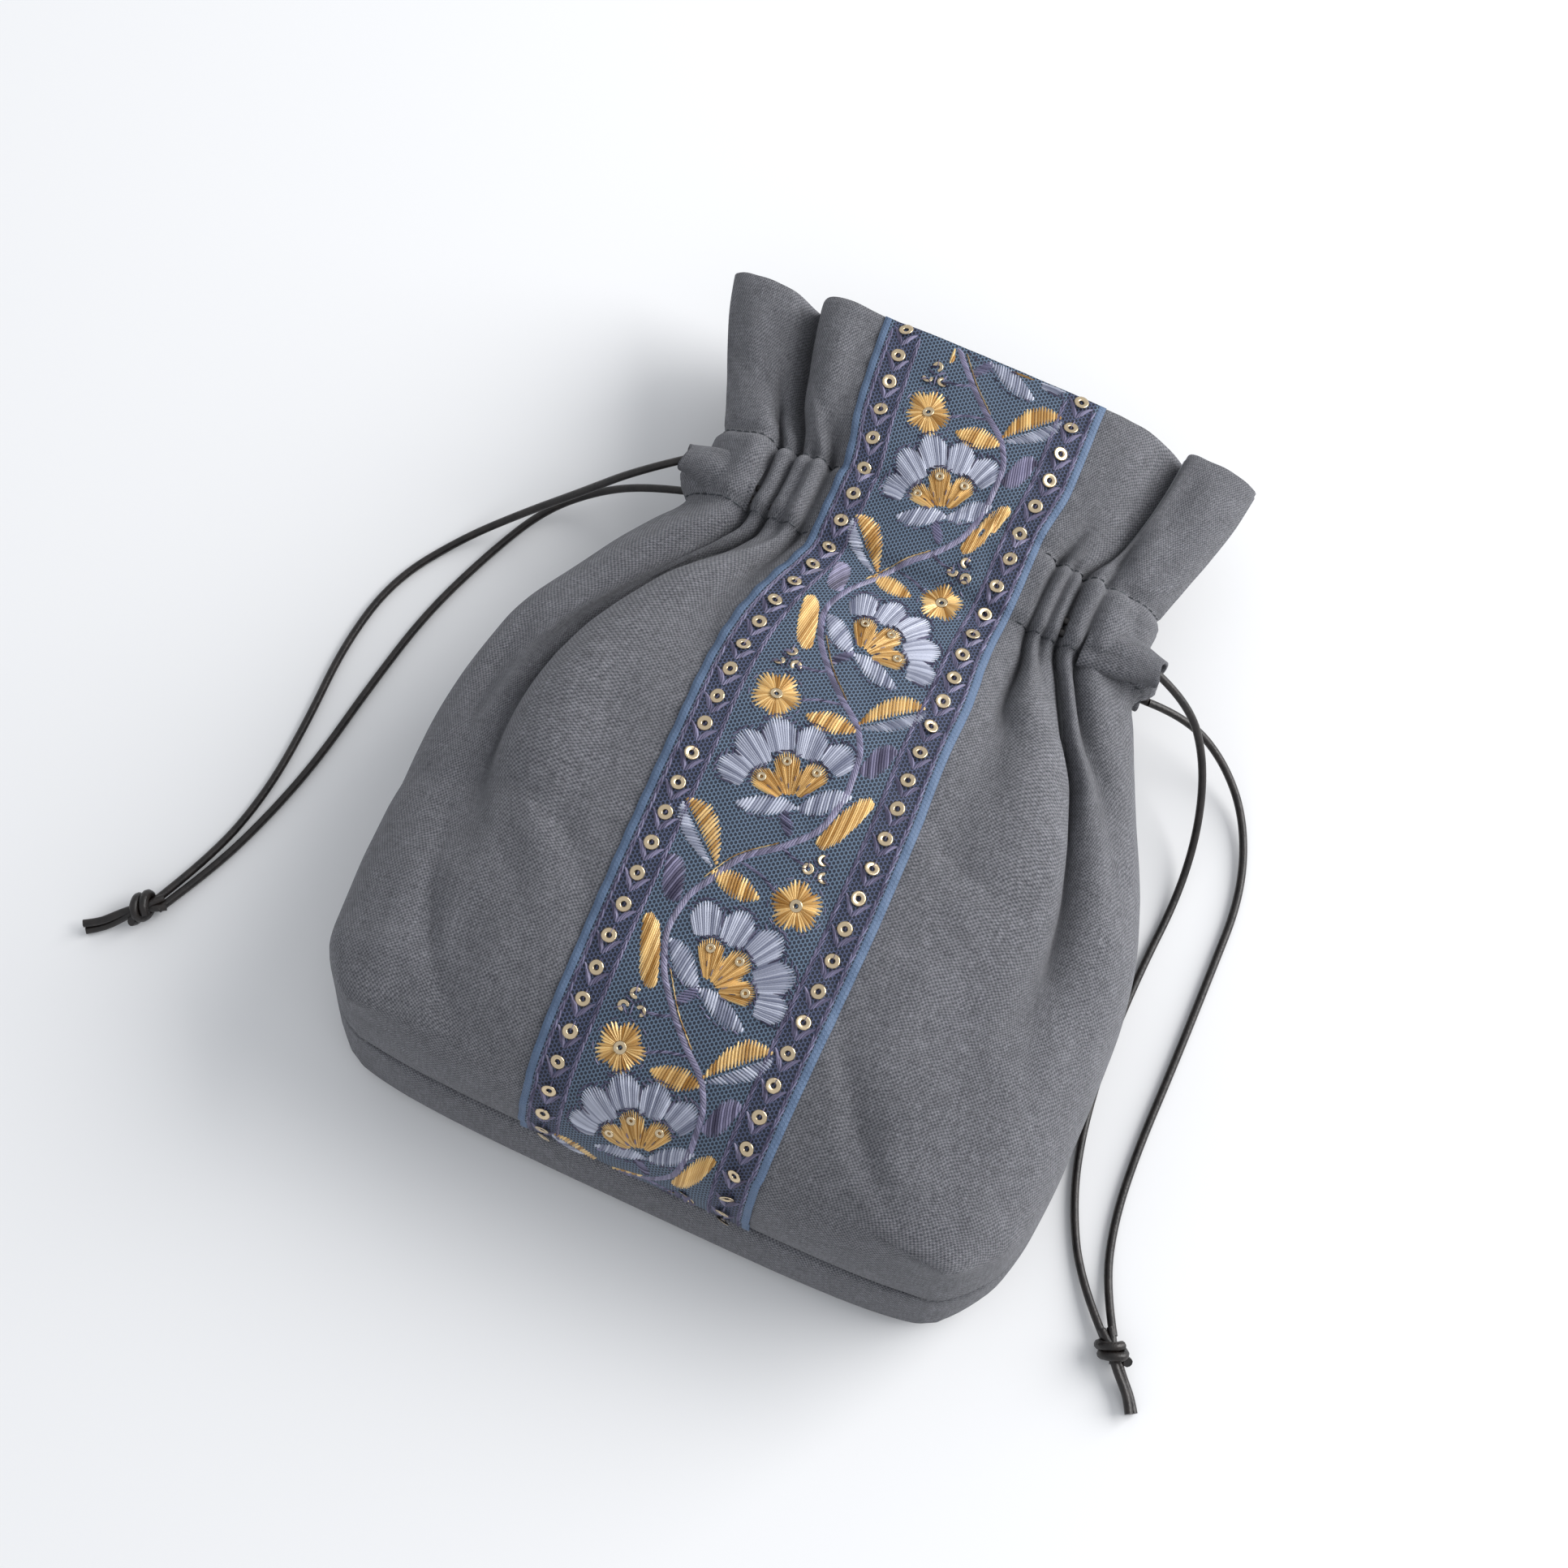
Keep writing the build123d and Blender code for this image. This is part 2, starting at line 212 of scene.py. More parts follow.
def noise_over(nodes, links, vector, scale, detail, roughness=0.5):
    """A noise texture over a vector, as a factor."""
    texture = nodes.new("ShaderNodeTexNoise")
    texture.inputs["Scale"].default_value = scale
    texture.inputs["Detail"].default_value = detail
    texture.inputs["Roughness"].default_value = roughness
    links.new(vector, texture.inputs["Vector"])
    return texture.outputs["Fac"]


def raise_surface(nodes, links, shader, height, strength, distance):
    """Bump on a shader from a height, with its depth in metres."""
    bump = nodes.new("ShaderNodeBump")
    bump.inputs["Strength"].default_value = strength
    bump.inputs["Distance"].default_value = distance
    links.new(height, bump.inputs["Height"])
    links.new(bump.outputs["Normal"], shader.inputs["Normal"])


def waxed_cord_material():
    """Nearly black brown cotton under wax: fine twist, worn lighter in places."""
    material, nodes, links, shader = node_material("waxed_cord", 0.38)
    place = nodes.new("ShaderNodeTexCoord").outputs["Object"]
    wear = noise_over(nodes, links, place, 420, 5)
    stops = [(0.35, (0.004, 0.003, 0.003)), (0.75, (0.020, 0.015, 0.013))]
    colour = ramp_between(nodes, links, wear, stops)
    links.new(colour, shader.inputs["Base Color"])
    fibres = noise_over(nodes, links, place, 1900, 3)
    raise_surface(nodes, links, shader, fibres, 0.5, 0.0002)
    return material


waxed_cord = waxed_cord_material()


def new_piece(name, data):
    """A new object in the scene for a mesh or a curve."""
    piece = bpy.data.objects.new(name, data)
    bpy.context.scene.collection.objects.link(piece)
    return piece


def pick(*pieces):
    """Only these pieces selected, with the first of them active."""
    clear_selection()
    for piece in pieces:
        piece.select_set(True)
    bpy.context.view_layer.objects.active = pieces[0]


def cord_curve(name, route, thickness=cord_diameter):
    """A smooth cord along a route in millimetres, as one NURBS spline with capped ends."""
    line = bpy.data.curves.new(name, "CURVE")
    line.dimensions = "3D"
    spline = line.splines.new("NURBS")
    spline.points.add(len(route) - 1)
    for point, place in zip(spline.points, route):
        point.co = (*(Vector(place) * MM), 1)
    spline.order_u = 3
    spline.use_endpoint_u = True
    line.resolution_u = 10
    line.bevel_depth = thickness / 2 * MM
    line.bevel_resolution = 3
    line.use_fill_caps = True
    line.materials.append(waxed_cord)
    return new_piece(name, line)


def cords_joined(name, cords):
    """Several cords as one smooth mesh."""
    pick(*cords)
    bpy.ops.object.convert(target="MESH")
    bpy.ops.object.join()
    piece = bpy.context.object
    piece.name = name
    bpy.ops.object.shade_smooth()
    return piece


for node, route in strand_routes.items():
    side = node.split("_")[0]
    strand = cord_curve(node.replace("_strand", "_run"), route)
    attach(strand, f"{side}_drawcord")
    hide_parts(node)

# Each knot is an overhand knot tied in both strands at once, with short cut ends.
knot_places = {"left": ((-124.9, -84.3), -138.0), "right": ((104.8, -83.3), -50.0)}
knot_height = 3.4
knot_turns = 1.9
knot_reach = 2.0
knot_lean = 1.5
knot_radius = 2.25
knot_tightness = 1.18


def knot_wrap(centre, turn):
    """Points of the cord where it winds round the two strands, leaning as it goes."""
    frame_turn = Matrix.Rotation(math.radians(turn), 4, "Z")
    count = 26
    points = []
    for i in range(count):
        share = i / (count - 1)
        angle = 2 * math.pi * knot_turns * share + 0.6
        radius = knot_radius + 0.28 * math.sin(3.1 * share * math.pi)
        along = (share - 0.5) * 2 * knot_reach + knot_lean * math.sin(angle + 0.8)
        spot = Vector((along, radius * 1.05 * math.cos(angle), radius * 0.92 * math.sin(angle)))
        points.append(Vector((*centre, knot_height)) + frame_turn @ spot)
    return points


for side, (centre, turn) in knot_places.items():
    frame_turn = Matrix.Rotation(math.radians(turn), 4, "Z")
    wraps = [cord_curve(f"{side}_knot", knot_wrap(centre, turn), cord_diameter * knot_tightness)]
    for shift, height in ((0.75, 3.0), (-0.75, 3.6)):
        through = [(-5.0, shift * 1.3, height - 0.6), (-2, shift, height), (2.5, -shift, height)]
        spots = [Vector((*centre, 0)) + frame_turn @ Vector(p) for p in through]
        wraps.append(cord_curve(f"{side}_core_{height}", spots))
    knot = cords_joined(f"{side}_knot", wraps)
    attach(knot, f"{side}_drawcord")
    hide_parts(f"{side}_cord_knot")

    ends = []
    for shift, height in ((0.45, 0.95), (-0.45, 2.55)):
        tail = [
            (1.5, shift, 3.2),
            (4.0, shift, 0.4 * height + 2.0),
            (7.0, shift + 0.3, height + 0.2),
            (10.0, shift + 0.5, height),
            (13.2, shift * 1.3, height),
        ]
        spots = [Vector((*centre, 0)) + frame_turn @ Vector(p) for p in tail]
        ends.append(cord_curve(f"{side}_ends_{height}", spots))
    tails = cords_joined(f"{side}_ends", ends)
    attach(tails, f"{side}_drawcord")
    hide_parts(f"{side}_cord_tails")

    for strand_name in ("front", "back"):
        node = f"{side}_cord_{strand_name}_strand"
    for node in (f"{side}_cord_front_leg", f"{side}_cord_back_leg", f"{side}_cord_far_loop"):
        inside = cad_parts[node]
        inside.data.materials.clear()
        inside.data.materials.append(waxed_cord)


# ---- the linen: one piece of cloth in front and one behind --------------------------------
# Slate linen, cut 190 mm wide, with boxed corners at the base, gathered between the casing's
# two stitch lines and free above them. Lengths along the cloth run from the base seam.
seam_to_seam = 95.0
ribbon_half = 27.5
base_half_width = 67.5
base_side_run = 90.5

# The front's middle line from the base seam over the belly and neck to the mouth (y, z).
front_line = [
    (-94.6, 18.5), (-94.6, 26.0), (-92.6, 34.5), (-88.0, 41.5), (-80.0, 47.2), (-68.0, 51.6),
    (-56.5, 54.0), (-36.0, 55.8), (-16.0, 56.0), (-4.0, 55.0), (6.5, 53.0), (17.0, 50.0),
    (27.5, 46.2), (36.0, 42.4), (42.5, 39.6), (52.0, 39.2), (62.0, 39.3), (70.0, 39.6),
    (80.4, 39.3), (90.0, 38.6), (98.2, 37.6),
]
# By place along Y: half width, middle, lowest point, height of the side seam, and how
# square the upper and lower corners are.
half_widths = [
    (-88, 67.5), (-84, 73), (-78, 77.6), (-70, 79.6), (-57, 80.4), (-30, 80.2), (-16, 78.8),
    (0, 74.8), (7, 72), (17, 67), (28, 61.3), (36, 56.8), (42.5, 53), (52, 51), (62, 52.3),
    (72, 55.5), (80, 58.5), (90, 61.8), (98, 63.6),
]
middles = [
    (-88, 0.3), (-50, 0), (-16, -1), (9, -2.4), (26, -2), (43, -0.6), (62, -1.2), (98, -4.4),
]
lowest = [
    (-88, 0.8), (-78, 0.6), (-60, 0.6), (8, 0.6), (17, 1.6), (28, 4.5), (36, 8.8), (42.5, 12.5),
    (52, 13.5), (62, 13), (72, 11.5), (80, 10.5), (98, 8.5),
]
side_heights = [(-88, 18.5), (-70, 22), (-40, 24.5), (10, 25), (28, 25), (43, 26.2), (98, 25.5)]
upper_squareness = [
    (-88, 17), (-85, 10), (-80, 5.6), (-70, 3.3), (-50, 2.75), (20, 2.6), (43, 2.7), (98, 2.1),
]
lower_squareness = [(-88, 13), (-84, 8), (-70, 4.8), (-40, 4.2), (20, 3.6), (43, 2.7), (98, 2.3)]


def smooth_through(points):
    """A smooth line through (place, value) points that never overshoots between them."""
    x = np.array([p[0] for p in points], float)
    v = np.array([p[1] for p in points], float)
    step = np.diff(x)
    slope = np.diff(v) / step
    tangent = np.zeros_like(v)
    same_way = slope[1:] * slope[:-1] > 0
    inner = 2 * slope[1:] * slope[:-1] / np.where(same_way, slope[1:] + slope[:-1], 1)
    tangent[1:-1] = np.where(same_way, inner, 0)
    tangent[0], tangent[-1] = slope[0], slope[-1]

    def line(at):
        at = np.clip(np.asarray(at, float), x[0], x[-1])
        i = np.clip(np.searchsorted(x, at, side="right") - 1, 0, len(x) - 2)
        t = (at - x[i]) / step[i]
        return (
            v[i] * (1 + 2 * t) * (1 - t) ** 2
            + tangent[i] * step[i] * t * (1 - t) ** 2
            + v[i + 1] * t * t * (3 - 2 * t)
            + tangent[i + 1] * step[i] * t * t * (t - 1)
        )

    return line


def lengths_along(points):
    """Distance from the first point to each, along the line through them."""
    gaps = [math.dist(a, b) for a, b in zip(points, points[1:])]
    return [0.0, *np.cumsum(gaps)]


marks = lengths_along(front_line)
top_y = smooth_through([(q, p[0]) for q, p in zip(marks, front_line)])
top_z = smooth_through([(q, p[1]) for q, p in zip(marks, front_line)])
base_edge = marks[3]
casing_low, casing_high = marks[14], marks[16]
cloth_end = marks[-1]
width_at, middle_at = smooth_through(half_widths), smooth_through(middles)
low_at, side_at = smooth_through(lowest), smooth_through(side_heights)
upper_at, lower_at = smooth_through(upper_squareness), smooth_through(lower_squareness)

# The ribbon's stitched-down width by distance along the cloth: drawn in at the neck.
ribbon_widths = smooth_through([
    (0, 52.5), (base_edge, 53), (90, 55), (130, 54), (casing_low, 46.5), (casing_high, 46.5),
    (casing_high + 14, 51), (cloth_end, 53),
])
stitch_rows = (casing_low + 1.6, casing_high - 0.8)

# The gathers. Each fold is a valley that follows the cloth: by distance along the cloth, its
# place across (from the front's middle), depth, half width and lean.
neck = casing_low
front_folds = {
    -1: [
        [(neck - 50, 37, 0.0, 9, 0), (neck - 24, 36, 2.2, 6.5, 0), (neck - 5, 35, 5.8, 4.6, 0.1),
         (neck + 3, 34.5, 5.0, 4.2, 0), (casing_high - 2, 34.5, 5.2, 4.2, 0),
         (casing_high + 5, 34, 3.6, 4.8, 0.1), (casing_high + 18, 34, 1.0, 5, 0),
         (cloth_end, 33, 0.2, 5, 0)],
        [(neck - 96, 45, 0.0, 9, 0), (neck - 58, 45, -3.0, 7.5, 0), (neck - 24, 43.5, -3.4, 5.5, 0),
         (neck - 8, 42, -1.6, 4, 0), (neck - 2, 40, 0.0, 4, 0), (casing_high + 6, 42, 0.0, 5, 0),
         (casing_high + 16, 43, -1.0, 6, 0), (cloth_end, 43, -1.4, 7, 0)],
        [(neck - 34, 45.5, 0.0, 5, 0), (neck - 16, 45, 1.4, 4, 0), (neck - 4, 44.5, 3.0, 3.4, 0),
         (neck + 3, 44, 3.2, 3.2, 0), (casing_high - 2, 44, 3.2, 3.2, 0),
         (casing_high + 6, 44.5, 1.6, 3.6, 0), (cloth_end, 45, 0.2, 5, 0)],
        [(neck - 104, 61, 0.0, 14, 0), (neck - 66, 59, 7.2, 9.0, 0.15), (neck - 36, 56, 12.5, 8.0, 0.3),
         (neck - 14, 54.5, 11.5, 6.3, 0.3), (neck - 5, 53.5, 8.6, 5, 0.2),
         (neck + 3, 53.3, 5.4, 4.2, 0.1), (casing_high - 2, 53.3, 5.6, 4.2, 0),
         (casing_high + 6, 54, 9.5, 6, -0.1), (casing_high + 20, 56.5, 11.0, 8.5, -0.15),
         (cloth_end, 58, 9.5, 9.5, -0.15)],
        [(neck - 92, 78, 0.0, 12, 0), (neck - 40, 71, 5.6, 8, 0), (neck - 6, 66.5, 7.4, 5, 0),
         (neck + 3, 65.8, 4.6, 4.4, 0), (casing_high - 2, 65.8, 4.8, 4.4, 0),
         (casing_high + 7, 66.5, 6.8, 6, 0.3), (casing_high + 18, 69.5, 2.6, 7, 0.1),
         (cloth_end, 72, 0.4, 9, 0)],
    ],
    1: [
        [(neck - 62, 39, 0.0, 9, 0), (neck - 30, 38, 3.0, 6.5, 0), (neck - 8, 37, 8.0, 4.8, 0.15),
         (neck + 3, 36.5, 5.6, 4.2, 0), (casing_high - 2, 37, 5.0, 4.2, 0),
         (casing_high + 5, 38, 3.2, 5, 0), (casing_high + 22, 37, 0.6, 7, 0), (cloth_end, 37, 0.0, 7, 0)],
        [(neck - 88, 50, 0.0, 9, 0), (neck - 50, 49, -2.4, 7, 0), (neck - 22, 47.5, -3.2, 5.5, 0),
         (neck - 8, 44, -1.6, 4, 0), (neck - 2, 42, 0.0, 4, 0), (cloth_end, 42, 0.0, 5, 0)],
        [(neck - 30, 47.5, 0.0, 5, 0), (neck - 14, 47, 2.2, 3.8, 0), (neck - 3, 46.5, 4.2, 3.4, 0),
         (neck + 3, 46, 4.2, 3.2, 0), (casing_high - 2, 46, 3.6, 3.2, 0),
         (casing_high + 6, 46, 2.2, 3.6, 0), (cloth_end, 45, 0.2, 5, 0)],
        [(neck - 98, 64, 0.0, 12, 0), (neck - 60, 61.5, 6.6, 8.0, 0.15), (neck - 28, 58, 10.0, 6.4, 0.35),
         (neck - 5, 55.5, 7.4, 4.8, 0.25), (neck + 3, 55, 5.4, 4.2, 0),
         (casing_high - 2, 54.5, 5.6, 4.2, 0), (casing_high + 7, 53.5, 8.6, 6, 0.5),
         (casing_high + 20, 54, 9.8, 8, 0.7), (cloth_end, 55, 9.6, 9, 0.7)],
        [(neck - 62, 79, 0.0, 10, 0), (neck - 30, 74, 3.2, 8, 0), (neck - 6, 69, 5.6, 5, 0),
         (neck + 3, 68, 4.4, 4.4, 0), (casing_high - 2, 68, 4.4, 4.4, 0),
         (casing_high + 6, 66, 4.6, 5, 0.2), (casing_high + 18, 68, 2.0, 6, 0),
         (cloth_end, 72, 0.4, 8, 0)],
    ],
}
back_folds = [
    [(neck - 60 - 8 * (i % 2), p + 1, 0.0, 11, 0), (neck - 28, p, 1.9 + 0.6 * (i % 3), 8, 0),
     (neck - 5, p, 4.2 + 0.5 * (i % 2), 5.5, 0.1 - 0.2 * (i % 2)), (neck + 3, p, 3.0, 4.8, 0),
     (casing_high - 2, p, 3.0, 4.8, 0), (casing_high + 7, p, 4.6, 6, 0.15 - 0.3 * (i % 2)),
     (cloth_end, p + 2 * (i % 2), 2.4 + 0.7 * (i % 3), 7, 0)]
    for i, p in enumerate((-76, -59, -44, -27, -11, 6, 21, 38, 53, 69, 82))
]


def fold_lines(fold):
    """Place, depth, half width and lean of one fold, each as a smooth line along the cloth."""
    return [smooth_through([(row[0], row[k]) for row in fold]) for k in (1, 2, 3, 4)], fold[0][0]


front_lines = [(side, *fold_lines(f)) for side in (-1, 1) for f in front_folds[side]]
back_lines = [(0, *fold_lines(f)) for f in back_folds]


def quarter_section(half_width, height, squareness, count=160):
    """A rounded quarter outline from the crown to the side, with distances along it."""
    angle = np.linspace(math.pi / 2, 0, count)
    cosine, sine = np.cos(angle), np.sin(angle)
    cosine[0], sine[-1] = 0, 0
    across = half_width * cosine ** (2 / squareness)
    up = height * sine ** (2 / squareness)
    run = np.concatenate([[0], np.cumsum(np.hypot(np.diff(across), np.diff(up)))])
    return across, up, run


most_taken = 0.84
taken_by_depth = 0.15


def gather_density(p, q, lines):
    """How far the cloth is spread at p: below one inside a fold, where it is crowded."""
    crowd = np.ones_like(p)
    for side, (place, depth, half, _), start in lines:
        if q <= start:
            continue
        centre = place(q) * (side or 1)
        taken = min(most_taken, taken_by_depth * depth(q))
        crowd *= 1 - taken * np.exp(-(((p - centre) / (0.9 * half(q))) ** 2))
    return crowd


def fold_depth(p, q, lines):
    """How deep each point lies in the folds, and how far it leans across."""
    sink, lean = np.zeros_like(p), np.zeros_like(p)
    for side, (place, depth, half, tilt), start in lines:
        if q <= start:
            continue
        centre = place(q) * (side or 1)
        valley = depth(q) * np.exp(-(((p - centre) / half(q)) ** 2))
        sink += valley
        lean += tilt(q) * (side or 1) * valley
    return sink, lean


def soft_step(value, start, end):
    """Nought before start, one after end and a smooth rise between."""
    t = np.clip((value - start) / (end - start), 0, 1)
    return t * t * (3 - 2 * t)


box_place = seam_to_seam * (base_half_width / base_side_run)
side_step = np.linspace(-seam_to_seam, seam_to_seam, 761)

# How far the cloth stands off its smooth outline: raised over the channel, drawn in at the
# stitches and seams, raised again where the cords come out.
casing_puff = 2.6
neck_puff = 1.8
stitch_dent = 1.0
gathered_stitch_dent = 0.9
box_seam_dent = 1.3
side_seam_dent = 0.7
way_out_rise = 4.6
left_way_out = 7.2
right_way_out = 4.6
slump = 0.19


def run_across(p, q, front, half_run):
    """Distances round the outline for the cloth's points p, once the gathers crowd it."""
    density = gather_density(side_step, q, front_lines if front else back_lines)
    if front:
        density = np.where(np.abs(side_step) <= ribbon_half, 1.0, density)
    step = side_step[1] - side_step[0]
    spread = np.concatenate([[0], np.cumsum((density[1:] + density[:-1]) / 2 * step)])
    spread -= np.interp(0, side_step, spread)
    if not front:
        left, right = spread * half_run / -spread[0], spread * half_run / spread[-1]
        return np.interp(p, side_step, np.where(side_step < 0, left, right))
    half_ribbon = float(ribbon_widths(q)) / 2
    free = half_run - half_ribbon
    edge_left = np.interp(-ribbon_half, side_step, spread)
    edge_right = np.interp(ribbon_half, side_step, spread)
    left = -half_ribbon + (spread - edge_left) * free / (edge_left - spread[0])
    right = half_ribbon + (spread - edge_right) * free / (spread[-1] - edge_right)
    under_ribbon = side_step / ribbon_half * half_ribbon
    run_at = np.where(side_step > ribbon_half, right, under_ribbon)
    run_at = np.where(side_step < -ribbon_half, left, run_at)
    return np.interp(p, side_step, run_at)


def cloth_row(p, q, front, inset=0.0):
    """The places (x, y, z) in millimetres of the cloth's points p at distance q."""
    y = float(top_y(q))
    high, low = float(top_z(q)), float(low_at(y))
    side_z = float(side_at(y))
    if front:
        height, squareness = high - side_z, float(upper_at(y))
    else:
        height, squareness = side_z - low, float(lower_at(y))
    across, up, run = quarter_section(float(width_at(y)), height, squareness)
    s = run_across(p, q, front, run[-1])

    sink, lean = fold_depth(p, q, front_lines if front else back_lines)
    seam_calm = 1 - np.exp(-(((seam_to_seam - np.abs(p)) / 7) ** 2))
    if front:
        seam_calm *= soft_step(np.abs(p), ribbon_half - 1.5, ribbon_half + 4)
    s = s + lean * seam_calm
    outline = np.abs(s)
    x = np.sign(s) * np.interp(outline, run, across)
    z = np.interp(outline, run, up)
    slope_x = np.gradient(across, run)
    slope_z = np.gradient(up, run)
    out_x = np.sign(s) * -np.interp(outline, run, slope_z)
    out_z = np.interp(outline, run, slope_x)
    size = np.maximum(np.hypot(out_x, out_z), 1e-6)
    out_x, out_z = out_x / size, out_z / size

    in_casing = soft_step(q, casing_low - 1, casing_low + 3)
    in_casing = in_casing * (1 - soft_step(q, casing_high - 3, casing_high + 1))
    near_neck = math.exp(-(((q - (casing_low + casing_high) / 2) / 26) ** 2))
    on_side = soft_step(np.abs(p), ribbon_half + 1, ribbon_half + 8) if front else np.ones_like(p)
    on_side = on_side * (1 - 0.8 * soft_step(np.abs(p), 72, 92))
    puff = casing_puff * in_casing * (0.35 + 0.65 * on_side) + neck_puff * near_neck * on_side
    for row in stitch_rows:
        dent = stitch_dent + gathered_stitch_dent * on_side
        puff = puff - dent * math.exp(-(((q - row) / 1.5) ** 2))
    raise_by = puff - sink * seam_calm
    lane_q = casing_low + np.where(p < 0, left_way_out, right_way_out)
    at_way_out = np.exp(-(((q - lane_q) / 4.2) ** 2)) * soft_step(np.abs(p), 78, seam_to_seam)
    raise_by = raise_by + way_out_rise * at_way_out
    if q < base_edge + 0.5:
        raise_by = raise_by - box_seam_dent * soft_step(np.abs(p), box_place - 1, box_place + 1)
    seam_groove = side_seam_dent * np.exp(-(((seam_to_seam - np.abs(p)) / 1.3) ** 2))
    raise_by = raise_by - seam_groove - inset
    x = x + out_x * raise_by + float(middle_at(y))
    z = z + out_z * raise_by
    z = side_z + z if front else side_z - z

    drop = max(0.0, 1 - (q - base_edge) / 38) ** 2 if q > base_edge else 1.0
    y_here = y - slump * (high - z) * drop + np.zeros_like(x)
    return np.stack([x, y_here, z], axis=-1)


# The back half of the base below its seam: place along Y and height by distance from the seam.
base_back_y = [(7, -97.2), (13, -98.4), (19, -97.8), (base_edge, -95.3)]
base_back_z = [(7, 12.4), (13, 6.4), (19, 1.9), (base_edge, 0.6)]


def base_row(p, q, front):
    """The same for the base's face, below the boxed edge, where q runs from its seam."""
    share = 1 - q / base_edge
    edge = cloth_row(p, base_edge, front)
    seam_y, seam_z = front_line[0]
    rim = np.clip(np.abs(p) / box_place, 0, 1)
    if front:
        y = float(top_y(q)) + 1.2 * rim**4 * share
        z = float(top_z(q))
        z = z + (edge[:, 2] - edge[len(p) // 2, 2]) * (1 - share)
    else:
        line_y = smooth_through([(0, seam_y), *base_back_y])
        line_z = smooth_through([(0, seam_z), *base_back_z])
        y = float(line_y(q)) + 2.6 * rim**4 * math.sin(math.pi * min(1, q / base_edge))
        z = float(line_z(q)) + np.zeros_like(p)
        y = y + (edge[:, 1] - edge[len(p) // 2, 1]) * (1 - share)
    x = p * (base_half_width / box_place) + 0.3
    groove = 0.8 * math.exp(-((q / 1.2) ** 2))
    face = np.stack([x, y + groove, z + np.zeros_like(p)], axis=-1)
    ends = np.array([-box_place, box_place])
    beside = box_place + (seam_to_seam - box_place) * share
    corner = cloth_row(np.array([-beside, beside]), base_edge, front)
    for k in (0, 1):
        own = np.array([np.interp(ends[k], p, face[:, m]) for m in range(3)])
        near = np.clip(p / ends[k], 0, 1) ** 7
        face = face + near[:, None] * (corner[k] - own)[None, :]
    return face


corner_pinch = 2.2
corner_reach = 5.0


def cloth_points(p, q_values, front):
    """A grid of the cloth's places, with the front's boxed corners drawn to a point."""
    beyond = np.maximum(0, np.abs(p) - box_place) * base_edge / (seam_to_seam - box_place)
    rows = []
    for q in q_values:
        row = cloth_row(p, q, front) if q >= base_edge else base_row(p, q, front)
        if front:
            away_from_corner = (beyond**2 + (q - base_edge) ** 2) / corner_reach**2
            pinch = corner_pinch * np.exp(-away_from_corner) * soft_step(np.abs(p), 42, 69)
            row = row + np.stack([0.4 * np.sign(p) * pinch, -0.75 * pinch, 0.6 * pinch], axis=-1)
        rows.append(row)
    return np.array(rows)


def ruffle(points, p, q, front):
    """Small creases of worn linen, weaker on the ribbon and by the side seams, fading out towards the
    base, and shallower on the back.
    """
    seed = 3.7 if front else 41.3
    out = points.copy()
    for j, distance in enumerate(q):
        for i, across in enumerate(p):
            spot = Vector((across * 0.045 + seed, distance * 0.028, seed))
            fine = Vector((across * 0.13, distance * 0.075 + seed, seed))
            slant = Vector((across * 0.030 + distance * 0.012, distance * 0.016 - seed, seed))
            crease = (1 - min(1.0, abs(noise.noise(slant)) * 2.6)) ** 3
            swell = noise.noise(spot) * 2.1 + noise.noise(fine) * 1.0 - 1.9 * crease
            calm = 1.0
            if front:
                calm = 0.25 + 0.75 * min(1.0, max(0.0, (abs(across) - ribbon_half) / 10))
            edge = min(1.0, (seam_to_seam - abs(across)) / 6)
            edge *= min(1.0, max(0.0, distance - base_edge) / 12)
            rise = swell * calm * edge
            out[j, i, 2] += rise if front else -0.3 * rise
    return out


def grid_mesh(name, points, uv, mask=None):
    """A mesh of four-sided faces over a grid of points in millimetres, with a UV map in metres."""
    rows, columns = points.shape[:2]
    mesh = bpy.data.meshes.new(name)
    faces = []
    for j in range(rows - 1):
        for i in range(columns - 1):
            if mask is None or mask[j, i]:
                a = j * columns + i
                faces.append((a, a + 1, a + columns + 1, a + columns))
    mesh.from_pydata((points.reshape(-1, 3) * MM).tolist(), [], faces)
    layer = mesh.uv_layers.new(name="UVMap")
    flat = uv.reshape(-1, 2) * MM
    corner = np.array([v for f in faces for v in f])
    layer.data.foreach_set("uv", flat[corner].astype(np.float32).ravel())
    mesh.validate()
    return mesh


box_steps = 15
fine_across = 124
inner = np.linspace(-box_place, box_place, fine_across + 1)
outer = np.linspace(box_place, seam_to_seam, box_steps + 1)[1:]
p_values = np.concatenate([-outer[::-1], inner, outer])
base_rows = np.linspace(0, base_edge, box_steps + 1)[:-1]
body_rows = np.linspace(base_edge, casing_low - 4, 86)
neck_rows = np.linspace(casing_low - 4, casing_high + 6, 27)[1:]
frill_rows = np.linspace(casing_high + 6, cloth_end, 19)[1:]
q_values = np.concatenate([base_rows, body_rows, neck_rows, frill_rows])


def maths_for(nodes, links):
    """A function that adds a maths node over sockets and numbers, and gives its result."""

    def maths(operation, *values):
        node = nodes.new("ShaderNodeMath")
        node.operation = operation
        for socket, value in zip(node.inputs, values):
            if isinstance(value, (int, float)):
                socket.default_value = value
            else:
                links.new(value, socket)
        return node.outputs[0]

    return maths


